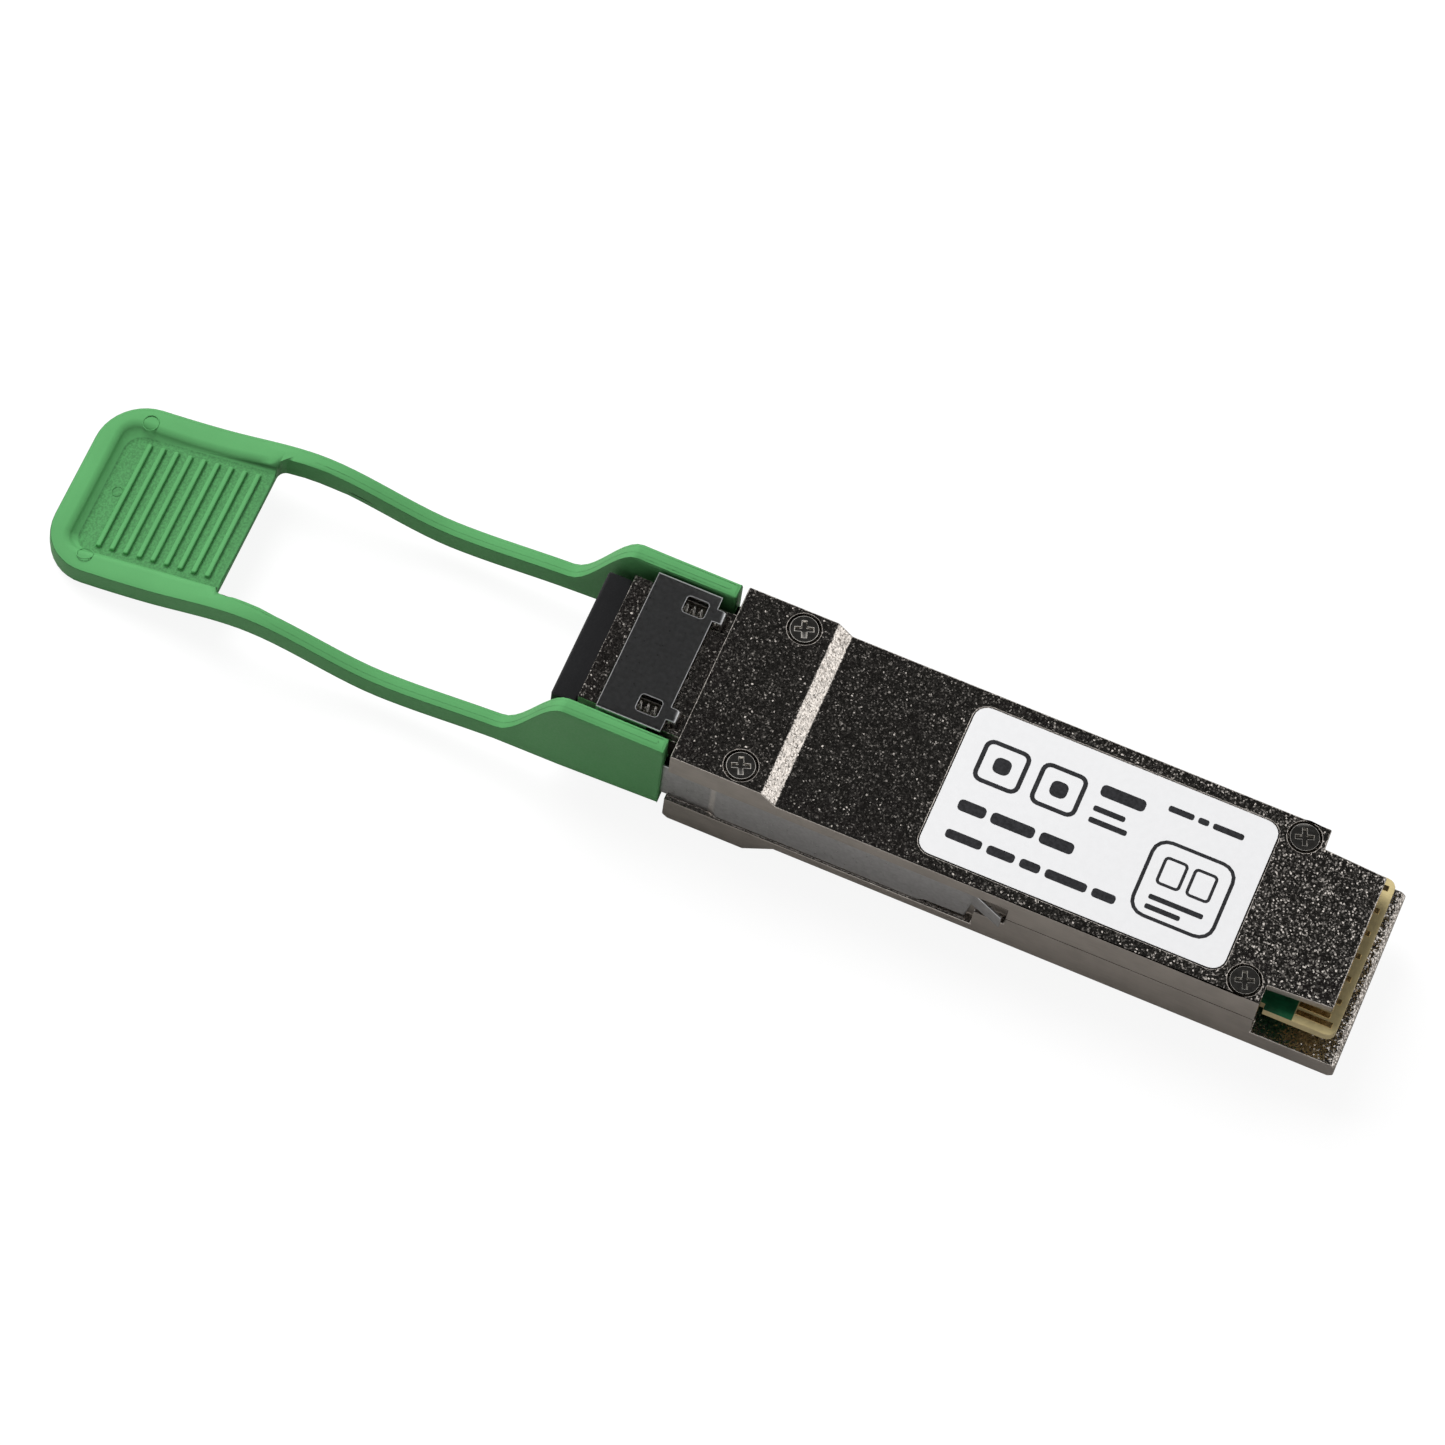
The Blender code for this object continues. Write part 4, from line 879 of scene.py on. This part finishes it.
# The print, as (left, bottom, width, height, line width) in millimetres from the label's lower left corner.
# A line width of zero is a solid bar. The rows of bars stand in for text.
PRINT = (
    (1.9, 8.3, 4.4, 4.4, 0.42),
    (7.3, 8.3, 4.4, 4.4, 0.42),
    (3.3, 9.7, 1.6, 1.6, 0.0),
    (8.7, 9.7, 1.6, 1.6, 0.0),
    (12.9, 11.5, 4.2, 1.2, 0.0),
    (12.9, 9.9, 3.0, 0.55, 0.0),
    (12.9, 8.7, 3.6, 0.55, 0.0),
    (1.9, 5.0, 2.6, 1.15, 0.0),
    (5.0, 5.0, 4.1, 1.15, 0.0),
    (9.6, 5.0, 3.2, 1.15, 0.0),
    (1.9, 2.1, 3.4, 0.9, 0.0),
    (5.8, 2.1, 2.6, 0.9, 0.0),
    (8.9, 2.1, 1.9, 0.9, 0.0),
    (11.3, 2.1, 3.9, 0.9, 0.0),
    (15.7, 2.1, 2.2, 0.9, 0.0),
    (19.0, 12.6, 2.4, 0.6, 0.0),
    (21.8, 12.6, 1.0, 0.6, 0.0),
    (23.2, 12.6, 2.9, 0.6, 0.0),
    (19.0, 2.1, 7.9, 7.9, 0.34),
    (20.4, 5.6, 2.3, 2.9, 0.28),
    (23.2, 5.6, 2.3, 2.9, 0.28),
    (20.4, 4.0, 5.1, 0.5, 0.0),
    (20.4, 3.0, 3.3, 0.5, 0.0),
)


class TRANSCEIVER_OT_print(bpy.types.Operator):
    """Plain marks on the label: a pair of port outlines, and bars in place of text."""

    bl_idname = "transceiver.print"
    bl_label = "Print"

    def execute(self, context):
        marks = [self.mark(*row) for row in PRINT]
        piece = joined(marks, "label_print")
        finish_piece(piece, BODY, "label_paper", label_ink)
        return {"FINISHED"}

    def mark(self, left, bottom, width, height, line):
        """A bar or an outline with rounded corners, a thin film thick."""
        bpy.ops.object.select_all(action="DESELECT")
        centre = LABEL_LOW + Vector((left + width / 2, bottom + height / 2, 0)) * MM
        bpy.ops.mesh.primitive_plane_add(size=1, location=(centre.x, centre.y, LABEL_HIGH.z))
        piece = bpy.context.object
        piece.scale = (width * MM, height * MM, 1)
        settle(piece)
        edit(piece, "VERT")
        bpy.ops.mesh.select_all(action="SELECT")
        corner = min(width, height) * (0.2 if line else 0.35) * MM
        bpy.ops.mesh.bevel(offset=corner, segments=4, affect="VERTICES")
        if line:
            bpy.ops.mesh.select_all(action="SELECT")
            bpy.ops.mesh.select_mode(type="FACE")
            bpy.ops.mesh.inset(thickness=line * MM)
            bpy.ops.mesh.delete(type="FACE")
        bpy.ops.mesh.select_all(action="SELECT")
        bpy.ops.mesh.extrude_region_move(TRANSFORM_OT_translate={"value": (0, 0, sizes().print_film)})
        bpy.ops.mesh.select_all(action="SELECT")
        bpy.ops.mesh.normals_make_consistent(inside=False)
        stop_editing()
        return piece


class TRANSCEIVER_OT_screws(bpy.types.Operator):
    """Cross-recess screws."""

    bl_idname = "transceiver.screws"
    bl_label = "Screws"

    def execute(self, context):
        for place in ("nose_left", "nose_right", "rear_left", "rear_right"):
            node = f"screw_{place}"
            piece = cad_copy(node, f"{place}_screw")
            round_all(piece, sizes().screw_edge)
            smooth_faces(piece)
            finish_piece(piece, BODY, "screw_nickel", screw_nickel, node)
        return {"FINISHED"}


class TRANSCEIVER_OT_springs(bpy.types.Operator):
    """Return springs, wound round the X axis."""

    bl_idname = "transceiver.springs"
    bl_label = "Return springs"

    def execute(self, context):
        wire = sizes().spring_wire
        turns = sizes().spring_turns
        for side in ("left", "right"):
            node = f"return_spring_{side}"
            low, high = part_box(node)
            middle = (low + high) / 2
            radius = (high.z - low.z - wire) / 2
            bpy.ops.object.select_all(action="DESELECT")
            bpy.ops.mesh.primitive_circle_add(
                vertices=10,
                radius=wire / 2,
                location=(radius, 0, 0),
                rotation=(math.pi / 2, 0, 0),
                fill_type="NOTHING",
            )
            piece = bpy.context.object
            piece.name = f"{side}_coil"
            settle(piece)
            run = high.x - low.x - wire
            apply_modifier(
                piece,
                "SCREW",
                axis="Z",
                angle=TAU,
                screw_offset=run / turns,
                iterations=turns,
                steps=24,
                render_steps=24,
                use_merge_vertices=False,
                use_smooth_shade=True,
            )
            edit(piece, "EDGE")
            bpy.ops.mesh.select_all(action="DESELECT")
            bpy.ops.mesh.select_non_manifold(extend=False)
            bpy.ops.mesh.edge_face_add()
            bpy.ops.mesh.select_all(action="SELECT")
            bpy.ops.mesh.normals_make_consistent(inside=False)
            stop_editing()
            piece.rotation_euler = (0, math.pi / 2, 0)
            piece.location = (low.x + wire / 2, middle.y, middle.z)
            settle(piece)
            finish_piece(piece, BODY, "spring_steel", screw_nickel, node)
            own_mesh(piece)
        return {"FINISHED"}


class TRANSCEIVER_OT_board(bpy.types.Operator):
    """Circuit board with its card edge contacts."""

    bl_idname = "transceiver.board"
    bl_label = "Board"

    def execute(self, context):
        piece = cad_copy("main_board", "board_laminate")
        round_all(piece, sizes().board_edge)
        smooth_faces(piece)
        finish_piece(piece, BODY, "board_green", circuit_board, "main_board")
        self.contacts()
        return {"FINISHED"}

    def contacts(self):
        """Gold pads on both faces, some of them shorter than the rest."""
        pitch, count = sizes().contact_pitch, sizes().contact_count
        front = BOARD_HIGH.x - CONTACT_ROOT
        parts = []
        for number in range(count):
            y = (number - (count - 1) / 2) * pitch
            short = CONTACT_STEP if number % 3 else 0.0
            end = BOARD_HIGH.x - CONTACT_END - short
            for z in (BOARD_HIGH.z + CONTACT_FILM / 2, BOARD_LOW.z - CONTACT_FILM / 2):
                bpy.ops.object.select_all(action="DESELECT")
                bpy.ops.mesh.primitive_cube_add(
                    size=1,
                    location=((front + end) / 2, y, z),
                    scale=(end - front, CONTACT_SHARE * pitch, CONTACT_FILM),
                )
                parts.append(bpy.context.object)
        piece = joined(parts, "card_contacts")
        round_all(piece, CONTACT_EDGE, 1)
        finish_piece(piece, BODY, "gold_plate", gold_plate)


class TRANSCEIVER_OT_inner(bpy.types.Operator):
    """Finishes of the pieces inside the housing."""

    bl_idname = "transceiver.inner"
    bl_label = "Inner pieces"

    def execute(self, context):
        finishes = {
            screw_nickel: ("transmitter_barrel", "receiver_barrel"),
            gold_plate: ("transmitter_can", "receiver_can", "clock_oscillator"),
            flexible_film: ("transmitter_flex", "receiver_flex"),
            sheet_steel: ("barrel_clip",),
            chip_package: (
                "signal_processor", "laser_driver", "receive_amplifier", "microcontroller", "power_regulator"
            ),
            ferrite_core: ("power_inductor_1", "power_inductor_2"),
            silicone_pad: ("processor_pad", "optics_pad"),
            gasket_rubber: ("gasket_left", "gasket_right"),
        }
        for finish, nodes in finishes.items():
            for node in nodes:
                paint_node(node, finish)
        return {"FINISHED"}


# ---------------------------------------------------------------- studio


def floor_material():
    """Pale to the eye, with a faint shadow, darker where metal mirrors it, and clear from below."""
    made = bpy.data.materials.new("studio_floor")
    made.use_nodes = True
    tree = made.node_tree
    tree.nodes.clear()
    seen = add(tree, "ShaderNodeLightPath").outputs["Is Camera Ray"]
    glow = add(tree, "ShaderNodeEmission", {"Color": (1, 1, 1, 1), "Strength": studio().floor}).outputs[0]
    pale = add(tree, "ShaderNodeBsdfDiffuse", {"Color": (0.16, 0.16, 0.16, 1)}).outputs[0]
    lit = add(tree, "ShaderNodeAddShader", {0: glow, 1: pale}).outputs[0]
    dull = add(tree, "ShaderNodeBsdfDiffuse", {"Color": (0.50, 0.48, 0.46, 1)}).outputs[0]
    mixed = add(tree, "ShaderNodeMixShader", {0: seen, 1: dull, 2: lit}).outputs[0]
    under = add(tree, "ShaderNodeNewGeometry").outputs["Backfacing"]
    clear = add(tree, "ShaderNodeBsdfTransparent").outputs[0]
    shown = add(tree, "ShaderNodeMixShader", {0: under, 1: mixed, 2: clear}).outputs[0]
    add(tree, "ShaderNodeOutputMaterial", {"Surface": shown})
    return made


def studio_world():
    """White to the eye; to metal, dark overhead with a band that is brightest behind the card edge."""
    world = bpy.data.worlds.new("studio_world")
    world.use_nodes = True
    tree = world.node_tree
    tree.nodes.clear()
    rays = add(tree, "ShaderNodeLightPath").outputs
    way = add(tree, "ShaderNodeTexCoord").outputs["Generated"]
    parts = add(tree, "ShaderNodeSeparateXYZ", {0: way}).outputs
    band = maths(tree, "POWER", ramp(tree, parts["Z"], 0.95, 0.05), 2.0)
    rear = ramp(tree, parts["X"], 0.55, 0.85, 1.0, 0.78)
    low = ramp(tree, parts["Z"], 0.42, 0.22)
    ahead, aside = ramp(tree, parts["X"], 0.6, 0.8), ramp(tree, parts["Y"], 0.1, 0.3)
    window = maths(tree, "MULTIPLY", ahead, aside)
    dimmed = maths(tree, "MULTIPLY", low, maths(tree, "SUBTRACT", 1.0, window))
    haze = maths(tree, "SUBTRACT", 1.0, maths(tree, "MULTIPLY", dimmed, 0.55))
    level = maths(tree, "MULTIPLY", maths(tree, "MULTIPLY", band, rear), haze)
    bright = maths(tree, "MULTIPLY", level, studio().horizon)
    mirrored = maths(tree, "ADD", bright, studio().zenith)
    glossy = add(tree, "ShaderNodeMix", {0: rays["Is Glossy Ray"], 2: studio().fill, 3: mirrored}).outputs[0]
    strength = add(tree, "ShaderNodeMix", {0: rays["Is Camera Ray"], 2: glossy, 3: 1.0}).outputs[0]
    sky = add(tree, "ShaderNodeBackground", {"Color": (1, 1, 1, 1), "Strength": strength}).outputs[0]
    add(tree, "ShaderNodeOutputWorld", {"Surface": sky})
    return world


class TRANSCEIVER_OT_stage(bpy.types.Operator):
    """Floor, lights, world and camera."""

    bl_idname = "transceiver.stage"
    bl_label = "Stage"

    def execute(self, context):
        scene = context.scene
        scene.view_settings.view_transform = "Standard"
        bpy.ops.object.select_all(action="DESELECT")
        bpy.ops.mesh.primitive_plane_add(size=FLOOR_SIZE, location=(0, 0, -FLOOR_DROP))
        floor = context.object
        floor.name = "studio_floor"
        floor.data.materials.append(floor_material())
        scene.world = studio_world()
        bpy.ops.object.light_add(type="AREA", location=KEY_PLACE)
        key = context.object
        key.name = "key_light"
        key.data.shape = "DISK"
        key.data.size = KEY_SIZE
        key.data.energy = studio().key_power
        key.visible_glossy = False
        key.rotation_euler = (Vector((0, 0, 0)) - key.location).to_track_quat("-Z", "Y").to_euler()
        camera = bpy.data.objects.new("studio_camera", bpy.data.cameras.new("studio_camera"))
        scene.collection.objects.link(camera)
        back = CAMERA_RIGHT.cross(CAMERA_UP)
        turn = Matrix((CAMERA_RIGHT, CAMERA_UP, back)).transposed().to_4x4()
        camera.matrix_world = Matrix.Translation(CAMERA_PLACE) @ turn
        camera.data.sensor_width = CAMERA_SENSOR
        camera.data.lens = CAMERA_LENS
        scene.camera = camera
        return {"FINISHED"}


# ---------------------------------------------------------------- panel and registration


STEPS = (
    TRANSCEIVER_OT_castings,
    TRANSCEIVER_OT_latch,
    TRANSCEIVER_OT_tab,
    TRANSCEIVER_OT_marks,
    TRANSCEIVER_OT_receptacle,
    TRANSCEIVER_OT_label,
    TRANSCEIVER_OT_print,
    TRANSCEIVER_OT_screws,
    TRANSCEIVER_OT_springs,
    TRANSCEIVER_OT_board,
    TRANSCEIVER_OT_inner,
    TRANSCEIVER_OT_stage,
)
GROUPS = {
    "transceiver_sizes": TransceiverSizes,
    "transceiver_colours": TransceiverColours,
    "transceiver_studio": StudioSettings,
}


class TRANSCEIVER_PT_panel(bpy.types.Panel):
    """Buttons for each piece and the stage, with the sizes and colours that they use."""

    bl_label = "Transceiver"
    bl_idname = "TRANSCEIVER_PT_panel"
    bl_space_type = "VIEW_3D"
    bl_region_type = "UI"
    bl_category = "Transceiver"

    def draw(self, context):
        for step in STEPS:
            self.layout.operator(step.bl_idname)
        for name, group in GROUPS.items():
            box = self.layout.box()
            for key in group.__annotations__:
                box.prop(getattr(context.scene, name), key)


def register():
    for group in GROUPS.values():
        bpy.utils.register_class(group)
    for name, group in GROUPS.items():
        setattr(bpy.types.Scene, name, bpy.props.PointerProperty(type=group))
    for item in (*STEPS, TRANSCEIVER_PT_panel):
        bpy.utils.register_class(item)


def unregister():
    for item in (TRANSCEIVER_PT_panel, *reversed(STEPS)):
        bpy.utils.unregister_class(item)
    for name, group in GROUPS.items():
        delattr(bpy.types.Scene, name)
        bpy.utils.unregister_class(group)


def main():
    register()
    for step in STEPS:
        family, action = step.bl_idname.split(".")
        getattr(getattr(bpy.ops, family), action)()


if __name__ == "__main__":
    main()
